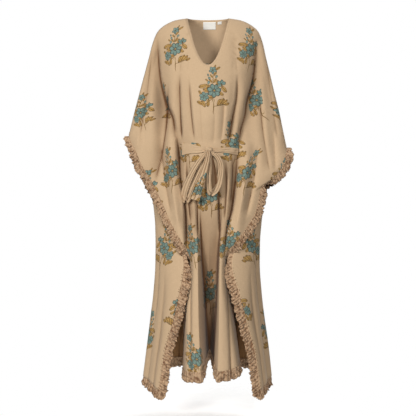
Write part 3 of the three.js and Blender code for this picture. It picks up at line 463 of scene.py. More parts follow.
def mesh_from_grid(name, grid, uv_maps, loop_across=False):
    """Smooth mesh object on a grid of points, with UV maps given for each point."""
    quads = quads_of(*grid.shape[:2], loop_across)
    mesh = bpy.data.meshes.new(name)
    mesh.vertices.add(grid.shape[0] * grid.shape[1])
    mesh.vertices.foreach_set("co", (grid * MM).astype(np.float32).ravel())
    mesh.loops.add(quads.size)
    mesh.loops.foreach_set("vertex_index", quads.ravel().astype(np.int32))
    mesh.polygons.add(len(quads))
    mesh.polygons.foreach_set("loop_start", np.arange(0, quads.size, 4, dtype=np.int32))
    mesh.polygons.foreach_set("use_smooth", np.ones(len(quads), bool))
    mesh.update(calc_edges=True)
    obj = bpy.data.objects.new(name, mesh)
    for uv_name, (u, v) in uv_maps.items():
        add_uv(obj, uv_name, np.stack([u, v], axis=-1).reshape(-1, 2)[quads])
    mesh.validate()
    bpy.context.scene.collection.objects.link(obj)
    return obj, quads


def lengths_of(grid, axis, parts=(0, 1, 2)):
    """Length along a grid's rows (axis 1) or columns (axis 0) up to each point."""
    step = np.linalg.norm(np.diff(grid[..., list(parts)], axis=axis), axis=2)
    pad = [(0, 0), (0, 0)]
    pad[axis] = (1, 0)
    return np.cumsum(np.pad(step, pad), axis=axis)


def area_of(grid):
    """Area of the cloth on a grid, in square metres."""
    down = grid[1:, :-1] - grid[:-1, :-1]
    across = grid[:-1, 1:] - grid[:-1, :-1]
    corner = grid[1:, 1:] - grid[:-1, :-1]
    first = np.linalg.norm(np.cross(down, corner), axis=2)
    second = np.linalg.norm(np.cross(corner, across), axis=2)
    return float((first + second).sum() / 2) * MM * MM


def flat_uv(grid):
    """Distances along and down the cloth of a grid, in metres."""
    return lengths_of(grid, 1) * MM, lengths_of(grid, 0) * MM


# How much of its flat rectangle a sheet fills at least, and how much if the width has to be
# worked out from the area.
LEAST_FILL, USUAL_FILL = 0.31, 0.6


def declare(obj, grid, node, thickness, material, inner=None):
    """Gives a sheet its thickness, material and body, and hides the solid of its node; its flat size
    is worked out but not used.
    """
    obj.data.materials.append(material)
    shell = obj.modifiers.new("thickness", "SOLIDIFY")
    shell.thickness = thickness * MM
    shell.offset = 0
    if inner is not None:
        obj.data.materials.append(inner)
        shell.material_offset = 1
        shell.material_offset_rim = 0
    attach(obj, "root")
    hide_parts(node)
    wide = float(lengths_of(grid, 1)[:, -1].max()) * MM
    long = float(lengths_of(grid, 0)[-1].max()) * MM
    area = area_of(grid)
    if area > wide * long:
        wide = area / long
    if area < LEAST_FILL * wide * long:
        wide = area / (USUAL_FILL * long)


# Materials


class Nodes:
    """Adds and links shader nodes."""

    def __init__(self, tree):
        self.tree = tree

    def add(self, kind, inputs=None, **settings):
        node = self.tree.nodes.new(kind)
        for key, value in settings.items():
            setattr(node, key, value)
        for key, value in (inputs or {}).items():
            if isinstance(value, bpy.types.NodeSocket):
                self.tree.links.new(value, node.inputs[key])
            else:
                node.inputs[key].default_value = value
        return node

    def math(self, operation, a, b=None, clamp=False):
        inputs = {0: a} if b is None else {0: a, 1: b}
        return self.add("ShaderNodeMath", inputs, operation=operation, use_clamp=clamp).outputs[0]

    def times(self, a, b):
        return self.math("MULTIPLY", a, b)

    def fold(self, operation, values):
        total = values[0]
        for value in values[1:]:
            total = self.math(operation, total, value)
        return total

    def vector(self, operation, a, b=None, out=0):
        inputs = {0: a} if b is None else {0: a, 1: b}
        return self.add("ShaderNodeVectorMath", inputs, operation=operation).outputs[out]

    def scaled(self, vector, factors):
        return self.vector("MULTIPLY", vector, factors)

    def mix(self, factor, a, b, blend="MIX"):
        inputs = {0: factor, 6: a, 7: b}
        return self.add("ShaderNodeMix", inputs, data_type="RGBA", blend_type=blend).outputs[2]

    def noise(self, vector, scale, detail=2.0, roughness=0.5, out=0):
        inputs = {"Vector": vector, "Scale": scale, "Detail": detail, "Roughness": roughness}
        return self.add("ShaderNodeTexNoise", inputs).outputs[out]

    def ramp(self, value, low, high):
        return self.add("ShaderNodeMapRange", {0: value, 1: low, 2: high}, clamp=True).outputs[0]

    def uv(self, name):
        return self.add("ShaderNodeUVMap", uv_map=name).outputs[0]

    def parts(self, vector):
        return self.add("ShaderNodeSeparateXYZ", {0: vector}).outputs


def ring(x, y, reach, long, wide, count, turn, shown=None):
    """Petals round a blossom's middle, of which the first ones show."""
    petals = []
    for k in range(count if shown is None else shown):
        angle = turn + 360.0 * k / count
        px = x + reach * math.cos(math.radians(angle))
        py = y + reach * math.sin(math.radians(angle))
        petals.append((px, py, long, wide, angle))
    return petals


# The sprig, in centimetres from its middle, up along y: x, y, half length, half width, angle.
TEAL_PETALS = (
    ring(0.5, 0.3, 1.45, 1.2, 0.92, 7, 10) + [(0.5, 0.3, 0.95, 0.8, 20)]
    + ring(-3.1, -1.9, 0.95, 0.9, 0.72, 6, 40) + [(-3.1, -1.9, 0.5, 0.45, 0)]
    + ring(3.2, 2.7, 0.85, 0.95, 0.66, 6, 25, shown=4)
    + ring(0.0, 7.9, 0.75, 0.78, 0.55, 5, 55)
    + [(-1.5, 3.3, 0.62, 0.45, 70), (-1.3, 4.9, 0.6, 0.42, 120), (1.35, 5.5, 0.58, 0.4, 50),
       (-1.7, 6.1, 0.5, 0.36, 110)]
)
MUSTARD_LEAVES = [
    (-3.5, 2.0, 1.5, 0.62, 14), (-1.9, 1.5, 1.1, 0.5, 60), (4.2, 0.9, 1.35, 0.62, -48),
    (2.3, -4.0, 1.25, 0.55, 64), (3.5, -3.6, 1.25, 0.58, 52), (4.7, -3.8, 1.2, 0.54, 40),
    (5.7, -4.5, 0.95, 0.42, 22),
    (-4.6, -4.2, 1.1, 0.5, 150), (-3.3, -4.6, 1.2, 0.55, 118), (-1.7, -4.3, 1.25, 0.52, 82),
    (1.9, 8.6, 0.9, 0.4, 30), (0.9, 6.5, 0.7, 0.34, 60), (0.8, 4.0, 0.9, 0.4, 55),
    (-0.5, 5.7, 0.65, 0.3, 125), (-0.7, 3.9, 0.7, 0.32, 130), (-2.6, 0.4, 1.0, 0.5, 150),
    (3.0, -0.7, 1.0, 0.5, -30), (1.7, 3.3, 0.9, 0.42, 80), (-1.0, -2.3, 0.95, 0.45, 200),
    (-4.6, -0.3, 0.8, 0.4, 130), (0.9, 9.3, 0.6, 0.3, 70), (-2.2, 4.2, 0.6, 0.3, 150),
]
LEAF_LENGTH, LEAF_WIDTH, VEIN_HALF_WIDTH, VEIN_SHARE = 1.12, 1.2, 0.07, 0.75
STEMS = [
    (0.3, -5.6, 2.9, 0.16, 86), (0.1, -2.2, 1.9, 0.12, 80), (0.1, 5.0, 3.0, 0.12, 88),
    (-1.4, -3.6, 2.2, 0.14, 38), (2.9, -5.0, 2.9, 0.14, 12), (1.9, 2.0, 1.3, 0.1, 40),
]
BLOSSOM_HEARTS = [(0.5, 0.3, 0.42), (3.3, 2.4, 0.3), (0.0, 7.9, 0.26)]
TEAL = (0.088, 0.178, 0.165, 1)
TEAL_LIGHT = (0.165, 0.275, 0.25, 1)
MUSTARD = (0.37, 0.2, 0.046, 1)
MUSTARD_LIGHT = (0.47, 0.285, 0.085, 1)
OUTLINE = (0.05, 0.035, 0.02, 1)
STITCH_TONE = (0.3, 0.2, 0.12, 1)
# Tones multiplied in as painted shade: in creases, in a frill's hollows, and low down inside.
CREASE_SHADE_TONE = (0.21, 0.12, 0.06, 1)
HOLLOW_SHADE_TONE = (0.34, 0.2, 0.11, 1)
INSIDE_SHADE_TONE = (0.5, 0.38, 0.25, 1)


def sprig_group():
    """Node group: place from a sprig's middle in metres in, teal, mustard and outline out."""
    tree = bpy.data.node_groups.new("sprig", "ShaderNodeTree")
    tree.interface.new_socket("Vector", in_out="INPUT", socket_type="NodeSocketVector")
    for name in ("Teal", "Mustard", "Outline"):
        tree.interface.new_socket(name, in_out="OUTPUT", socket_type="NodeSocketFloat")
    n = Nodes(tree)
    centimetres = n.scaled(n.add("NodeGroupInput").outputs[0], (100, 100, 0))
    wobble = n.vector("SUBTRACT", n.noise(centimetres, 0.9, 3.0, 0.6, out=1), (0.5, 0.5, 0.5))
    place = n.vector("ADD", centimetres, n.scaled(wobble, (0.55, 0.55, 0)))

    def ellipse(x, y, long, wide, angle):
        """Coordinates in which the ellipse is the circle of radius 1."""
        node = n.add("ShaderNodeMapping", {"Vector": place}, vector_type="TEXTURE")
        node.inputs["Location"].default_value = (x, y, 0)
        node.inputs["Rotation"].default_value = (0, 0, math.radians(angle))
        node.inputs["Scale"].default_value = (long, wide, 1)
        return node.outputs[0]

    def away(*row):
        return n.vector("LENGTH", ellipse(*row), out=1)

    petals = [away(*row) for row in TEAL_PETALS]
    near, next_near = petals[0], 9.0
    for value in petals[1:]:
        larger = n.math("MAXIMUM", near, value)
        near = n.math("MINIMUM", near, value)
        next_near = n.math("MINIMUM", next_near, larger)
    leaves, veins = [], []
    for x, y, long, wide, angle in MUSTARD_LEAVES:
        leaf = ellipse(x, y, long * LEAF_LENGTH, wide * LEAF_WIDTH, angle)
        along, across = n.parts(leaf)[:2]
        thin = n.math("LESS_THAN", n.math("ABSOLUTE", across), VEIN_HALF_WIDTH / wide)
        short = n.math("LESS_THAN", n.math("ABSOLUTE", along), VEIN_SHARE)
        leaves.append(n.vector("LENGTH", leaf, out=1))
        veins.append(n.times(thin, short))
    leaf = n.fold("MINIMUM", leaves)
    stem = n.fold("MINIMUM", [away(*row) for row in STEMS])
    heart = n.fold("MINIMUM", [away(x, y, r, r, 0) for x, y, r in BLOSSOM_HEARTS])
    in_petal, in_leaf, in_stem, in_heart = (
        n.math("LESS_THAN", shape, 1.0) for shape in (near, leaf, stem, heart)
    )
    beside_petals = n.math("SUBTRACT", 1.0, in_petal)
    cleft = n.math("LESS_THAN", n.math("SUBTRACT", next_near, near), 0.17)
    petal_rim = n.math("MAXIMUM", n.math("GREATER_THAN", near, 0.8), cleft)
    leaf_line = n.math("MAXIMUM", n.fold("MAXIMUM", veins), n.math("GREATER_THAN", leaf, 0.84))
    outline = n.fold("MAXIMUM", [
        n.times(n.times(in_leaf, leaf_line), beside_petals),
        n.times(n.times(in_stem, 0.65), beside_petals),
        n.times(in_petal, petal_rim),
        n.times(in_heart, n.math("GREATER_THAN", heart, 0.72)),
    ])
    end = n.add("NodeGroupOutput")
    # The hearts are mustard on the teal, so the teal leaves them out.
    tree.links.new(n.math("SUBTRACT", in_petal, in_heart, clamp=True), end.inputs[0])
    tree.links.new(n.fold("MAXIMUM", [in_leaf, in_stem, in_heart]), end.inputs[1])
    tree.links.new(outline, end.inputs[2])
    return tree


SPRIG = sprig_group()


def with_sprigs(n, colour, weave_uv, strength):
    """The sprigs over the cloth's colour, a little patchy and worn."""
    motif_uv = n.uv("motif")
    sprig = n.add("ShaderNodeGroup", {0: motif_uv}, node_tree=SPRIG).outputs
    patch = n.ramp(n.noise(n.scaled(motif_uv, (100, 100, 1)), 0.8, 3.0, 0.65), 0.38, 0.62)
    worn = n.ramp(n.noise(n.scaled(weave_uv, (400, 400, 1)), 1.0, 2.0), 0.25, 0.5)
    cover = n.times(n.math("ADD", n.times(worn, 0.25), 0.75), strength)
    colour = n.mix(n.times(sprig[1], cover), colour, n.mix(patch, MUSTARD, MUSTARD_LIGHT))
    colour = n.mix(n.times(sprig[0], cover), colour, n.mix(patch, TEAL, TEAL_LIGHT))
    return n.mix(n.times(sprig[2], cover), colour, OUTLINE)


# Stitches, in metres: distance below a panel's top edge, half width, stitches in a metre
# and the part of each that shows.
STITCH_DROP, STITCH_HALF_WIDTH, STITCHES_PER_METRE, DASH_SHARE = 0.0075, 0.0005, 330.0, 0.68


def with_stitches(n, colour):
    """A dashed line of stitches below a panel's top edge."""
    along, down = n.parts(n.uv("edge"))[:2]
    away = n.math("ABSOLUTE", n.math("SUBTRACT", down, STITCH_DROP))
    on_line = n.math("LESS_THAN", away, STITCH_HALF_WIDTH)
    dash = n.math("LESS_THAN", n.math("FRACT", n.times(along, STITCHES_PER_METRE)), DASH_SHARE)
    return n.mix(n.times(n.times(on_line, dash), 0.6), colour, STITCH_TONE)


def with_painted_crease_shade(n, colour):
    """Painted shade in the creases; the deepest lines darken more than in proportion."""
    depth = n.parts(n.uv("crease"))[0]
    steep = n.math("ADD", n.times(n.math("POWER", depth, 2.0), 0.34), 0.62)
    return n.mix(n.times(depth, steep), colour, CREASE_SHADE_TONE, "MULTIPLY")


def gather_hollows(n, where):
    """Small uneven hollows between the curls of a frill."""
    swirl = n.scaled(n.noise(where, 60.0, 2.0, out=1), (0.006, 0.006, 0.006))
    inputs = {"Vector": n.vector("ADD", where, swirl), "Scale": 125.0}
    return n.ramp(n.add("ShaderNodeTexVoronoi", inputs).outputs[0], 0.48, 0.8)


def cloth_bump(n, weave_uv, threads, crumple):
    """Normal of the weave's fine bump over the soft crumple."""
    waves = [
        n.add(
            "ShaderNodeTexWave", {"Vector": weave_uv, "Scale": 420.0, "Distortion": 0.6},
            bands_direction=way,
        ).outputs[1]
        for way in ("X", "Y")
    ]
    height = n.math("ADD", n.times(n.math("ADD", *waves), 0.25), threads)
    fine = {"Strength": 0.25, "Distance": 0.0004, "Height": height}
    normal = n.add("ShaderNodeBump", fine).outputs[0]
    soft = {"Strength": 0.55, "Distance": 0.004, "Height": crumple, "Normal": normal}
    return n.add("ShaderNodeBump", soft).outputs[0]


def cloth_material(name, base, low, print_strength=0.0, shaded_below=False, curled=False):
    """Plain woven cloth with an uneven tone, painted shade and, where it is printed, the sprigs."""
    material = bpy.data.materials.new(name)
    material.use_nodes = True
    tree = material.node_tree
    tree.nodes.clear()
    n = Nodes(tree)
    weave_uv = n.uv("weave")
    where = n.add("ShaderNodeTexCoord").outputs["Object"]
    warp = n.noise(n.scaled(weave_uv, (900.0, 60.0, 1.0)), 1.0, 2.0)
    weft = n.noise(n.scaled(weave_uv, (60.0, 900.0, 1.0)), 1.0, 2.0)
    tone = n.math("ADD", n.times(warp, 0.5), n.times(weft, 0.5))
    colour = n.mix(n.ramp(tone, 0.35, 0.65), low, base)
    colour = n.mix(n.times(n.ramp(n.noise(where, 5.0, 3.0), 0.35, 0.7), 0.25), colour, low)
    crumple = n.noise(where, 26.0, 3.0, 0.55)
    if shaded_below:
        # Painted shade: the inside grows darker towards the hem, deep within the garment.
        shaded_low_part = n.ramp(n.times(n.parts(where)[2], -1.0), 0.75, 1.25)
        colour = n.mix(shaded_low_part, colour, INSIDE_SHADE_TONE, "MULTIPLY")
    if curled:
        hollow = gather_hollows(n, where)
        # Painted shade in the hollows between a frill's curls, which also sink in the bump.
        colour = n.mix(n.times(hollow, 0.72), colour, HOLLOW_SHADE_TONE, "MULTIPLY")
        crumple = n.math("SUBTRACT", crumple, hollow)
    if print_strength:
        colour = with_stitches(n, with_sprigs(n, colour, weave_uv, print_strength))
    colour = with_painted_crease_shade(n, colour)
    normal = cloth_bump(n, weave_uv, n.math("ADD", warp, weft), crumple)
    shader = n.add("ShaderNodeBsdfPrincipled", {"Base Color": colour, "Normal": normal})
    shader.inputs["Roughness"].default_value = 0.9
    shader.inputs["Sheen Weight"].default_value = 0.12
    shader.inputs["Sheen Roughness"].default_value = 0.5
    shader.inputs["Specular IOR Level"].default_value = 0.2
    through = n.add("ShaderNodeBsdfTranslucent", {"Color": colour, "Normal": normal})
    both = n.add("ShaderNodeMixShader", {0: 0.05, 1: shader.outputs[0], 2: through.outputs[0]})
    tree.links.new(both.outputs[0], n.add("ShaderNodeOutputMaterial").inputs[0])
    return material


BELT_TONES = ((0.58, 0.418, 0.264, 1), (0.51, 0.363, 0.224, 1))
CLOTH = cloth_material(
    "printed_cloth", (0.585, 0.422, 0.266, 1), (0.515, 0.366, 0.226, 1), print_strength=0.94
)
CLOTH_INSIDE = cloth_material(
    "cloth_reverse", (0.61, 0.44, 0.28, 1), (0.54, 0.384, 0.24, 1), print_strength=0.4, shaded_below=True
)
FRILL = cloth_material("frill_cloth", (0.6, 0.415, 0.262, 1), (0.44, 0.29, 0.176, 1), curled=True)
BELT = cloth_material("belt_cloth", *BELT_TONES)
TIE = cloth_material("tie_cloth", *BELT_TONES, print_strength=0.9)


def label_material():
    """Ribbed satin of the blank label."""
    material = bpy.data.materials.new("label_satin")
    material.use_nodes = True
    n = Nodes(material.node_tree)
    shader = material.node_tree.nodes["Principled BSDF"]
    uv = n.uv("weave")
    ribs = n.add("ShaderNodeTexWave", {"Vector": uv, "Scale": 500.0}, bands_direction="Y").outputs[1]
    spots = n.times(n.noise(uv, 300.0, 2.0), 0.5)
    colour = n.mix(spots, (0.86, 0.85, 0.80, 1), (0.74, 0.72, 0.66, 1))
    bumped = n.add("ShaderNodeBump", {"Strength": 0.3, "Distance": 0.0002, "Height": ribs})
    material.node_tree.links.new(colour, shader.inputs["Base Color"])
    material.node_tree.links.new(bumped.outputs[0], shader.inputs["Normal"])
    shader.inputs["Roughness"].default_value = 0.55
    return material


LABEL = label_material()

# Panels

# Sprigs of the front: x and z of the middle in the front view, turn in degrees, size, and
# for some the heights and then the distances sideways between which they show.
SPRIG_LIMITS = (1e6, -1e6, -1e3, 1e3)
FRONT_SPRIGS = [
    (-130, -131, 5, 1.0), (160, -131, -5, 1.0), (18, -297, 0, 1.04),
    (-156, -335, -14, 0.9, 0, -1500, 2, 60), (184, -322, 12, 0.95, 0, -1500, -26, 24),
    (-264, -370, 14, 0.84), (298, -352, -12, 0.9),
    (-72, -508, -4, 0.96, -490), (98, -498, 8, 1.0),
    (-140, -598, 6, 1.0), (145, -604, -6, 1.0), (10, -690, 0, 1.0, -652),
    (-236, -676, 6, 0.95), (284, -628, -10, 0.95), (-60, -886, -2, 0.95), (76, -866, 5, 0.95),
    (6, -1066, 0, 1.0), (-46, -1298, 2, 1.0),
]
# Sprigs on the parts of the back that turn round to the front.
WRAP_SPRIGS = [
    (-164, -893, 8, 1.0), (172, -884, -8, 1.0), (-97, -1126, 10, 1.0), (113, -1108, -10, 1.0),
    (-236, -1222, 4, 1.0), (244, -1224, -4, 1.0),
]
BACK_COLUMN_STEP, BACK_ROW_STEP, BACK_FIRST_SPRIG, BACK_SIDE_SHIFT = 156.0, 372.0, 245.0, 8.0
SPRIG_HALF_WIDTH, SPRIG_HALF_HEIGHT = 66.0, 92.0
NOT_SHOWN, ASIDE = 1e8, 500.0


def sprig_uv(quads, u, v, sprigs):
    """For each corner, the place from the middle of the nearest sprig that shows, in metres."""
    u, v = u.ravel(), v.ravel()
    middle_u, middle_v = u[quads].mean(axis=1), v[quads].mean(axis=1)
    best = np.full(len(quads), 10 * NOT_SHOWN)
    chosen = np.zeros(len(quads), int)
    for k, sprig in enumerate(sprigs):
        top, low, left, right = sprig[4:] + SPRIG_LIMITS[len(sprig) - 4 :]
        across, up = middle_u - sprig[0], middle_v - sprig[1]
        away = (across / SPRIG_HALF_WIDTH) ** 2 + (up / SPRIG_HALF_HEIGHT) ** 2
        shows = (middle_v < top) & (middle_v > low) & (across > left) & (across < right)
        better = (away < best) & shows
        best[better], chosen[better] = away[better], k
    own_u, own_v, turn, size = np.array([row[:4] for row in sprigs], float)[chosen].T[..., None]
    across = u[quads] - own_u + np.where(best > NOT_SHOWN, ASIDE, 0)[:, None]
    up = v[quads] - own_v
    angle = np.radians(turn)
    x = (across * np.cos(angle) + up * np.sin(angle)) / size
    y = (-across * np.sin(angle) + up * np.cos(angle)) / size
    return np.stack([x, y], axis=-1) * MM


def around(grid):
    """Distance round each row from the centre column."""
    lengths = lengths_of(grid, 1, (0, 1))
    centre = grid.shape[1] // 2
    return lengths - lengths[:, centre : centre + 1]


def nearest_point(grid, x, z, penalty=0.0):
    """Row and column of the point nearest to a place in the front view."""
    away = (grid[..., 0] - x) ** 2 + (grid[..., 2] - z) ** 2 + penalty
    return np.unravel_index(np.argmin(away), away.shape)


def panel(name, node, grid, shade, sprigs, outer, inner):
    """Front or back panel as a printed sheet."""
    u, height = around(grid), grid[..., 2]
    # The crease map carries painted shade, not a shape.
    maps = {"weave": (u * MM, height * MM), "edge": flat_uv(grid), "crease": (shade, shade)}
    obj, quads = mesh_from_grid(name, grid, maps)
    add_uv(obj, "motif", sprig_uv(quads, u, height, sprigs))
    declare(obj, grid, node, CLOTH_THICKNESS, outer, inner)


def front_sprigs(grid):
    """The front's sprigs, placed by distance round the cloth."""
    u = around(grid)
    placed = []
    for x, z, *rest in FRONT_SPRIGS:
        at = nearest_point(grid, x, z)
        placed.append((u[at] + x - grid[at][0], z, *rest))
    return placed


def back_sprigs(grid):
    """A half-drop layout over the back, and the sprigs on its turned parts."""
    placed = []
    for k in range(-4, 5):
        for m in range(-1, 5):
            drop = BACK_FIRST_SPRIG + m * BACK_ROW_STEP - (BACK_ROW_STEP / 2 if k % 2 else 0)
            # Low down the outer columns lie on the turned parts, which have their own list.
            if -60 < drop < 1500 and not (abs(k) > 1 and drop > 660):
                turn = (k * 7 + m * 5) % 13 - 6
                placed.append((k * BACK_COLUMN_STEP - BACK_SIDE_SHIFT, -drop, turn, 1.0))
    u = around(grid)
    far_side = np.where(grid[..., 1] > 0, 1e6, 0)
    for x, z, turn, size in WRAP_SPRIGS:
        at = nearest_point(grid, x, z, far_side)
        placed.append((u[at] - (x - grid[at][0]), z, turn, size))
    return placed


front_shares = np.linspace(-1, 1, FRONT_COUNTS[1])
front_drops = row_drops(
    FRONT_NECK_DROP, FRONT_HEM_DROP, FRONT_COUNTS[0],
    (LEFT_WRIST_DROP, RIGHT_WRIST_DROP, FRONT_TURN_DROP),
)
FRONT_GRID, front_shade = front_grid(front_shares, front_drops)
panel(
    "front_cloth", "front_panel", FRONT_GRID, front_shade, front_sprigs(FRONT_GRID),
    CLOTH, CLOTH_INSIDE,
)
# The back's grid runs the other way round, so its first side is the inside.
back_drops = row_drops(
    BACK_NECK_DROP, BACK_HEM_DROP, BACK_COUNTS[0],
    (LEFT_BACK_WRIST_DROP, RIGHT_BACK_WRIST_DROP, BACK_TURN_DROP),
)
BACK_GRID, back_shade = back_grid(np.linspace(-1, 1, BACK_COUNTS[1]), back_drops)
panel(
    "back_cloth", "back_panel", BACK_GRID, back_shade, back_sprigs(BACK_GRID),
    CLOTH_INSIDE, CLOTH,
)

# Frills

FRONT_NORMALS = normals_of(FRONT_GRID)
BACK_NORMALS = normals_of(BACK_GRID)


def stations(grid, normals, cells, inner_cells):
    """Points, ways out in the cloth, hang directions and normals along an edge."""
    at, inside = tuple(np.array(cells).T), tuple(np.array(inner_cells).T)
    points, normal = grid[at], normals[at]
    out = unit(np.cross(unit(np.gradient(points, axis=0)), normal))
    out[np.sum(out * (points - grid[inside]), axis=1) < 0] *= -1
    hang = unit(np.stack([out[:, 0], out[:, 1] * 0.35, out[:, 2] - 0.25], axis=1))
    return {"point": points, "out": out, "hang": hang, "normal": normal}


def side_stations(grid, normals, rows, column):
    """Stations down a panel's first or last column."""
    inner = 1 if column == 0 else column - 1
    return stations(grid, normals, [(i, column) for i in rows], [(i, inner) for i in rows])


def hem_stations(grid, normals):
    """Stations along a panel's last row."""
    last, columns = grid.shape[0] - 1, range(grid.shape[1])
    return stations(grid, normals, [(last, j) for j in columns], [(last - 1, j) for j in columns])


def fan(first, second, steps=10):
    """Stations that turn from the end of one run to the start of the next."""
    t = np.linspace(0, 1, steps + 2)[1:-1, None]
    turned = {
        key: unit(first[key][-1:] * (1 - t) + second[key][:1] * t)
        for key in ("out", "hang", "normal")
    }
    return {"point": np.repeat(first["point"][-1:], steps, axis=0), **turned}


def taper(count, start, end, first_value, last_value):
    """One value along a run, easing in over the first stations and out over the last."""
    values = np.ones(count)
    if start:
        values[:start] = np.linspace(first_value, 1, start)
    if end:
        values[-end:] = np.minimum(values[-end:], np.linspace(1, last_value, end))
    return values


def frill(name, run, width, node, seed, calm, trim=1.0):
    """Densely gathered strip sewn along a run of stations.

    The calm flattens its gathers and the trim shortens it, station by station.
    """
    step = np.linalg.norm(np.diff(run["point"], axis=0), axis=1)
    turn = np.linalg.norm(np.diff(run["hang"], axis=0), axis=1) * width * 0.7
    reached = np.concatenate([[0], np.cumsum(np.maximum(step, turn))])
    total = reached[-1]
    place = np.linspace(0, total, int(total / FRILL_STEP))
    rng = np.random.default_rng(seed)

    def pull(values):
        return np.stack([np.interp(place, reached, part) for part in values.T], axis=1)

    def uneven(spacing, low, high):
        count = max(4, int(total / spacing))
        return np.interp(place, np.linspace(0, total, count), rng.uniform(low, high, count))

    point, hang, normal = pull(run["point"]), unit(pull(run["hang"])), unit(pull(run["normal"]))
    quiet = np.interp(place, reached, calm)
    short = np.interp(place, reached, trim * np.ones(len(reached)))
    drift = uneven(23, -1, 1)
    vary = uneven(31, 0.65, 1.25)
    quick = uneven(7, -1, 1)
    phase = 2 * np.pi * place / GATHER_PITCH + 3.0 * drift + quick
    along = unit(np.gradient(point, axis=0) + 1e-9)
    rows, painted_shade = [], []
    for v in np.linspace(0, 1, FRILL_LEVELS):
        # The gathers are shallow at the seam and deepen away from it.
        grow = 0.2 + 0.8 * min(1.0, abs(v - SEAM_SHARE) * 1.9)
        # Between the seam and the free edge a gather swings over, so that the strip curls.
        wave = np.sin(phase + 1.4 * v + 0.8 * quick * v) + 0.35 * np.sin(2.3 * phase + 3 * drift)
        wave *= 0.55 + 0.45 * np.cos(2 * np.pi * 1.5 * v + 3.0 * quick + 2.0 * drift)
        lift = GATHER_LIFT * grow * vary * quiet * wave + 1.5 * v * quick
        slide = GATHER_SLIDE * grow * vary * quiet * np.sin(2 * phase + 0.8 + 2 * v)
        # The first part of the strip lies on the panel, inside the seam.
        reach = width * short * (v * (1 + SEAM_SHARE) - SEAM_SHARE)
        reach += 2.6 * v * np.sin(phase * 0.37 + 2 * drift)
        base = point + hang * reach[:, None] + normal * (FRILL_LIFT + lift - 1.4 * v)[:, None]
        rows.append(base + along * slide[:, None])
        # Painted shade in the valleys of the gathers.
        painted_shade.append(np.clip(0.14 - 0.72 * wave, 0, 0.85) * quiet)
    grid, painted_shade = np.stack(rows), np.stack(painted_shade)
    obj, _ = mesh_from_grid(name, grid, {"weave": flat_uv(grid), "crease": (painted_shade, painted_shade)})
    declare(obj, grid, node, FRILL_THICKNESS, FRILL)


def picks(drops, low, high):
    """Numbers of the rows between two drops."""
    return [i for i, d in enumerate(drops) if low - 0.01 <= d <= high + 0.01]


def level_start(run, outward, steps=8):
    """Turns the first stations so that the frill starts level at the wrist's corner."""
    level = np.array([outward, 0, 0.12])
    for k in range(steps):
        share = 0.9 * (1 - k / steps)
        run["hang"][k] = unit(run["hang"][k] * (1 - share) + level * share)


FRONT_LAST, BACK_LAST = FRONT_COUNTS[1] - 1, BACK_COUNTS[1] - 1
for side, column, wrist, outward, seed in (
    ("left", 0, LEFT_WRIST_DROP, -1.0, 11),
    ("right", FRONT_LAST, RIGHT_WRIST_DROP, 1.0, 12),
):
    rows = picks(front_drops, wrist, FRONT_TURN_DROP)
    run = side_stations(FRONT_GRID, FRONT_NORMALS, rows, column)
    level_start(run, outward)
    frill(
        f"front_frill_{side}_cloth", run, SIDE_FRILL_WIDTH, f"front_frill_{side}", seed,
        calm=taper(len(rows), 6, 0, 0.3, 1), trim=taper(len(rows), 6, 6, 0.66, 0.85),
    )
for side, column, wrist, seed in (
    ("left", 0, LEFT_BACK_WRIST_DROP, 13), ("right", BACK_LAST, RIGHT_BACK_WRIST_DROP, 14),
):
    rows = picks(back_drops, wrist + 12, BACK_CUFF_END)
    run = side_stations(BACK_GRID, BACK_NORMALS, rows, column)
    frill(
        f"cuff_frill_{side}_cloth", run, SIDE_FRILL_WIDTH * CUFF_FRILL_SHARE,
        f"cuff_frill_{side}", seed,
        calm=taper(len(rows), 6, 0, 0.3, 1), trim=taper(len(rows), 5, 5, 0.6, 0.5),
    )
frill(
    "front_hem_frill_cloth", hem_stations(FRONT_GRID, FRONT_NORMALS), HEM_FRILL_WIDTH,
    "front_hem_frill", 15, calm=1 - 0.7 * bump(front_shares / 0.3),
)


def back_frill_run():
    """Stations up one back side edge, along the hem and up the other, with turned corners."""
    rows = picks(back_drops, BACK_TURN_DROP - BACK_FRILL_LEAD, BACK_HEM_DROP)
    left = side_stations(BACK_GRID, BACK_NORMALS, rows, 0)
    right = side_stations(BACK_GRID, BACK_NORMALS, rows, BACK_LAST)
    right = {key: value[::-1] for key, value in right.items()}
    hem = hem_stations(BACK_GRID, BACK_NORMALS)
    runs = [left, fan(left, hem), hem, fan(hem, right), right]
    return {key: np.concatenate([run[key] for run in runs]) for key in left}


run = back_frill_run()
frill(
    "back_frill_cloth", run, HEM_FRILL_WIDTH, "back_frill", 16,
    calm=taper(len(run["point"]), 8, 8, 0.3, 0.3), trim=taper(len(run["point"]), 10, 10, 0.3, 0.3),
)

# Belt and bow


def tree_of(grid):
    """Search tree that finds where a ray meets a panel."""
    quads = quads_of(*grid.shape[:2])
    return BVHTree.FromPolygons(grid.reshape(-1, 3).tolist(), quads.tolist())


FRONT_TREE = tree_of(FRONT_GRID)
BACK_TREE = tree_of(BACK_GRID)


RAY_START, FRONT_MISSED, BACK_MISSED = 600.0, -120.0, 80.0


def front_y(x, z):
    """y of the front panel, seen from in front."""
    hit = FRONT_TREE.ray_cast(Vector((x, -RAY_START, z)), Vector((0, 1, 0)))
    return hit[0].y if hit[0] is not None else FRONT_MISSED


def back_y(x, z):
    """y of the back panel, seen from behind."""
    hit = BACK_TREE.ray_cast(Vector((x, RAY_START, z)), Vector((0, -1, 0)))
    return hit[0].y if hit[0] is not None else BACK_MISSED


BELT_COUNTS, BELT_LIFT = (70, 22), 2.4


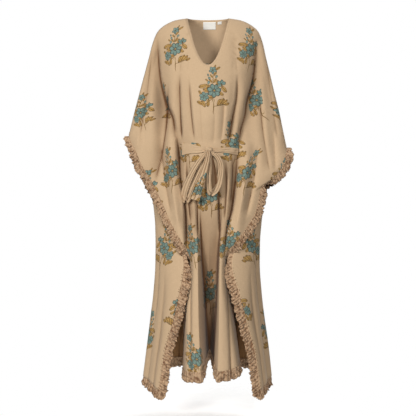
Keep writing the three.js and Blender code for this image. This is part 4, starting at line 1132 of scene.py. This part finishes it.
def belt_band(name, node, sides, tops, lows, pinch, seed):
    """Flat stretch of belt between two places across the front, creased towards the knot."""
    long, wide = BELT_COUNTS
    crease = np.random.default_rng(seed).uniform(0, 6.28, 4)
    grid = np.zeros((wide + 1, long + 1, 3))
    for j in range(long + 1):
        t = j / long
        x, top, low = (a + (b - a) * t for a, b in (sides, tops, lows))
        rest = np.mean([front_y(x + dx, (top + low) / 2) for dx in (-8, 0, 8)])
        for i in range(wide + 1):
            v = i / wide
            z = top + (low - top) * v + 1.2 * math.sin(9 * t + crease[0])
            y = min(front_y(x, z) - BELT_LIFT, rest - BELT_LIFT)
            ridges = 0.5 + 0.5 * math.sin(2 * math.pi * (2.5 * v + 0.5 * t) + crease[1])
            small = 0.5 + 0.5 * math.sin(2 * math.pi * 5.5 * v + 4 * t + crease[2])
            y -= pinch(t) * (4.2 * ridges + 1.2 * small) + 0.6 * math.sin(14 * t + 5 * v)
            y -= 2.0 * math.sin(math.pi * v)
            grid[i, j] = (x, y, z)
    obj, _ = mesh_from_grid(name, grid, {"weave": flat_uv(grid)})
    declare(obj, grid, node, BELT_THICKNESS, BELT)


belt_band(
    "belt_left_cloth", "belt_left", sides=(-100, -4), tops=(-486, -508), lows=(-533, -524),
    pinch=lambda t: t**2.2, seed=21,
)
belt_band(
    "belt_right_cloth", "belt_right", sides=(8, 114), tops=(-509, -506), lows=(-523, -532),
    pinch=lambda t: 0.45 + 0.5 * (1 - t), seed=22,
)


RIBBON_COUNTS = (25, 90)
# Added to a ribbon's edge map, so that the panels' line of stitches isn't on it.
PAST_STITCHES = 50.0


def ribbon(name, node, rows, seed, printed=False, pleats=2.5, soft=0.1, shaded=0.0):
    """Strip of belt through stations: x, z, lift off the front, width, tilt."""
    rows = np.array(rows, float)
    across, count = RIBBON_COUNTS
    fine = np.linspace(0, len(rows) - 1, count)
    xs, zs, lifts, widths, tilts = (curve(np.arange(len(rows)), column)(fine) for column in rows.T)
    middle = np.array([(x, front_y(x, z) - lift, z) for x, z, lift in zip(xs, zs, lifts)])
    # The middle line is evened out, so that a ribbon doesn't follow each crease below it.
    window = 9
    padded = np.pad(middle[:, 1], window // 2, mode="edge")
    middle[:, 1] = np.convolve(padded, np.ones(window) / window, mode="valid")
    along = unit(np.gradient(middle, axis=0))
    first, second = np.random.default_rng(seed).uniform(0, 6.28, 2)
    full = widths.max()
    grid = np.zeros((across, count, 3))
    painted_shade = np.zeros(grid.shape[:2])
    for j in range(count):
        flat = unit(np.array([-along[j, 2], 0, along[j, 0]]))
        if flat[0] < 0:
            flat = -flat
        tilt = math.radians(tilts[j])
        side = unit(flat * math.cos(tilt) + np.array([0, -1, 0]) * math.sin(tilt))
        face = unit(np.cross(along[j], side))
        # A ribbon is gathered where it is narrower than at its full width.
        gather = max(0.0, 1 - widths[j] / full)
        for i in range(across):
            v = i / (across - 1) - 0.5
            ripple = math.sin(2 * math.pi * pleats * v + first + 0.03 * j)
            bend = (0.12 + 0.5 * gather) * full * 0.16 * ripple
            bend += soft * full * (0.25 - v * v) * 1.6
            bend += 0.5 * math.sin(0.35 * j + 6 * v + second)
            grid[i, j] = middle[j] + side * (v * widths[j]) + face * bend
            # A pleat that points away from the front, with y, gets painted shade, added to the painted
            # shade given as shaded.
            hollow = max(0.0, math.copysign(ripple, ripple * face[1]) - 0.2)
            painted_shade[i, j] = min(0.95, shaded + 1.8 * hollow * (0.45 + gather))
    u, v = lengths_of(grid, 1), lengths_of(grid, 0)
    edge = (u * MM, (v + PAST_STITCHES) * MM)
    maps = {"weave": (u * MM, v * MM), "edge": edge, "crease": (painted_shade, painted_shade)}
    obj, quads = mesh_from_grid(name, grid, maps)
    if printed:
        add_uv(obj, "motif", sprig_uv(quads, u, v, [(u.max() * 0.8, full * 0.5, 80, 0.8)]))
    cloth = TIE if printed else BELT
    declare(obj, grid, node, BELT_THICKNESS, cloth)


ribbon("bow_loop_left_cloth", "bow_loop_left", [
    (-5, -524, 13, 13, 30), (-34, -560, 20, 25, 42), (-64, -610, 21, 33, 46),
    (-87, -665, 21, 37, 48), (-93, -694, 20, 38, 48), (-84, -706, 20, 38, 48),
    (-73, -692, 20, 37, 48), (-55, -650, 21, 35, 46), (-30, -596, 20, 29, 42),
    (-10, -556, 19, 19, 36), (-2, -528, 15, 12, 30)], seed=31)
ribbon("bow_loop_right_cloth", "bow_loop_right", [
    (9, -524, 13, 12, 30), (36, -545, 21, 21, 42), (49, -585, 22, 27, 48),
    (42, -635, 22, 31, 48), (26, -672, 22, 33, 48), (12, -680, 22, 33, 48),
    (3, -664, 22, 32, 48), (2, -620, 22, 28, 44), (6, -575, 20, 20, 38),
    (8, -530, 15, 12, 30)], seed=32)
ribbon("tie_end_front_cloth", "tie_end_front", [
    (3, -518, 19, 14, 0), (-4, -560, 34, 21, 4), (-18, -610, 40, 27, 8),
    (-36, -660, 41, 32, 8), (-50, -706, 40, 36, 6)], seed=33, printed=True)
# The back tie end, seen through the right loop, gets painted shade all over.
ribbon("tie_end_back_cloth", "tie_end_back", [
    (8, -528, 4, 12, 0), (14, -570, 3.2, 22, 0), (20, -620, 3.2, 30, 0),
    (26, -672, 3.2, 34, 0)], seed=34, soft=0.0, pleats=1.5, shaded=0.8)


def close_ends(obj):
    """Fills the open ends of a ring mesh and turns its faces outwards."""
    mesh = bmesh.new()
    mesh.from_mesh(obj.data)
    bmesh.ops.holes_fill(mesh, edges=[e for e in mesh.edges if e.is_boundary], sides=0)
    bmesh.ops.recalc_face_normals(mesh, faces=mesh.faces)
    mesh.to_mesh(obj.data)
    mesh.free()


KNOT_PLACE, KNOT_LIFT, KNOT_HALF_SIZE = (2.0, -516.0), 10.5, (14, 9.5, 10.5)
KNOT_COUNTS = (40, 64)


def knot():
    """Tight wrapped knot with the belt's creases running over it."""
    x, z = KNOT_PLACE
    y = front_y(x, z) - KNOT_LIFT
    half_width, half_depth, half_height = KNOT_HALF_SIZE
    rings, sides = KNOT_COUNTS
    grid = np.zeros((rings, sides, 3))
    for i in range(rings):
        polar = math.pi * (i + 0.5) / rings
        for j in range(sides):
            a = 2 * math.pi * j / sides
            cx, cy = math.sin(polar) * math.cos(a), math.sin(polar) * math.sin(a)
            cz = math.cos(polar)
            grow = 1 + 0.07 * math.sin(7 * polar + 2.2 * math.cos(a))
            grow += 0.05 * math.sin(5 * a + 3 * polar)
            waist = 1 - 0.12 * math.exp(-((cx * 2.2) ** 2))
            depth = half_depth * cy * grow * waist
            grid[i, j] = (x + half_width * cx * grow, y + depth, z + half_height * cz * grow)
    maps = {"weave": np.meshgrid(np.linspace(0, 0.09, sides), np.linspace(0, 0.05, rings))}
    obj, _ = mesh_from_grid("belt_knot_cloth", grid, maps, loop_across=True)
    close_ends(obj)
    obj.data.materials.append(BELT)
    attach(obj, "root")
    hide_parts("belt_knot")


knot()


LABEL_COUNTS, LABEL_LIFT, LABEL_BULGE = (16, 10), 1.6, 0.5


def label(name, node, x, top, width, height):
    """Small blank woven label that hangs just inside the back neck."""
    wide, tall = LABEL_COUNTS
    grid = np.zeros((tall + 1, wide + 1, 3))
    for i in range(tall + 1):
        for j in range(wide + 1):
            px = x - width / 2 + width * j / wide
            pz = top - height * i / tall
            bulge = LABEL_BULGE * math.sin(math.pi * i / tall)
            grid[i, j] = (px, back_y(px, pz) - LABEL_LIFT - bulge, pz)
    obj, _ = mesh_from_grid(name, grid, {"weave": flat_uv(grid)})
    declare(obj, grid, node, LABEL_THICKNESS, LABEL)


label("neck_label_cloth", "neck_label", x=6, top=3, width=50, height=28)
label("size_tab_cloth", "size_tab", x=46, top=3, width=16, height=10)

# Stage, light and camera, in metres

FLOOR_HEIGHT, FLOOR_RADIUS, FLOOR_SIDES = -1.53, 0.95, 64
CAMERA_DISTANCE, CAMERA_HEIGHT, FRAME_WIDTH = 3.5, -0.7352, 1.6224
SENSOR_WIDTH = 36.0
# Lights: name, place, target, size, power, colour.
LIGHTS = [
    ("key", (-2.7, -4.3, 0.4), (0, 0, -0.65), 1.2, 166, (1, 0.985, 0.96)),
    ("fill", (0.7, -4.9, 0.3), (0, 0, -0.5), 1.6, 132, (1, 0.99, 0.98)),
    ("top", (0.2, 0.2, 2.2), (0, 0, -0.5), 1.4, 16, (1, 1, 1)),
    ("behind", (2.0, 3.1, 1.1), (0, 0, -0.6), 1.0, 95, (1, 1, 1)),
    ("behind_fill", (-1.4, 3.4, 0.0), (0, 0, -0.7), 1.6, 32, (1, 1, 1)),
]


def floor_material():
    """Pale floor that fades out away from the middle."""
    material = bpy.data.materials.new("pale_floor")
    material.use_nodes = True
    tree = material.node_tree
    shader = tree.nodes["Principled BSDF"]
    n = Nodes(tree)
    where = n.add("ShaderNodeTexCoord").outputs["Object"]
    tone = n.mix(n.noise(where, 0.8, 2.0), (0.93, 0.93, 0.93, 1), (0.95, 0.95, 0.95, 1))
    tree.links.new(tone, shader.inputs["Base Color"])
    shader.inputs["Roughness"].default_value = 0.9
    shader.inputs["Emission Color"].default_value = (1, 1, 1, 1)
    shader.inputs["Emission Strength"].default_value = 0.3
    far = n.ramp(n.vector("LENGTH", n.scaled(where, (1, 1, 0)), out=1), 0.12, 0.6)
    clear = n.add("ShaderNodeBsdfTransparent")
    mixed = n.add("ShaderNodeMixShader", {0: far, 1: shader.outputs[0], 2: clear.outputs[0]})
    tree.links.new(mixed.outputs[0], tree.nodes["Material Output"].inputs[0])
    return material


def stage_floor():
    """Round floor below the hem."""
    angles = [2 * math.pi * k / FLOOR_SIDES for k in range(FLOOR_SIDES)]
    rim = [(FLOOR_RADIUS * math.cos(a), FLOOR_RADIUS * math.sin(a), FLOOR_HEIGHT) for a in angles]
    mesh = bpy.data.meshes.new("floor")
    mesh.from_pydata(rim, [], [tuple(range(FLOOR_SIDES))])
    mesh.materials.append(floor_material())
    obj = bpy.data.objects.new("floor", mesh)
    bpy.context.scene.collection.objects.link(obj)


def area_light(name, place, target, size, power, colour):
    """Soft square light turned to its target."""
    data = bpy.data.lights.new(name, "AREA")
    data.size, data.energy, data.color = size, power, colour
    obj = bpy.data.objects.new(name, data)
    obj.location = place
    obj.rotation_euler = (Vector(target) - Vector(place)).to_track_quat("-Z", "Y").to_euler()
    bpy.context.scene.collection.objects.link(obj)


def studio_world():
    """Dim warm surroundings that the camera sees as white."""
    world = bpy.data.worlds.new("studio")
    bpy.context.scene.world = world
    world.use_nodes = True
    world.node_tree.nodes.clear()
    n = Nodes(world.node_tree)
    seen = n.add("ShaderNodeLightPath").outputs["Is Camera Ray"]
    dim = n.add("ShaderNodeBackground", {"Color": (1, 0.93, 0.84, 1), "Strength": 0.13})
    white = n.add("ShaderNodeBackground", {"Color": (1, 1, 1, 1), "Strength": 1.0})
    both = n.add("ShaderNodeMixShader", {0: seen, 1: dim.outputs[0], 2: white.outputs[0]})
    world.node_tree.links.new(both.outputs[0], n.add("ShaderNodeOutputWorld").inputs[0])


def front_camera():
    """Camera straight in front, level, at half the part's height."""
    data = bpy.data.cameras.new("camera")
    data.sensor_width = SENSOR_WIDTH
    data.lens = SENSOR_WIDTH * CAMERA_DISTANCE / FRAME_WIDTH
    camera = bpy.data.objects.new("camera", data)
    camera.location = (0, -CAMERA_DISTANCE, CAMERA_HEIGHT)
    camera.rotation_euler = (math.pi / 2, 0, 0)
    bpy.context.scene.collection.objects.link(camera)
    bpy.context.scene.camera = camera


stage_floor()
for row in LIGHTS:
    area_light(*row)
studio_world()
bpy.context.scene.view_settings.view_transform = "Standard"
front_camera()
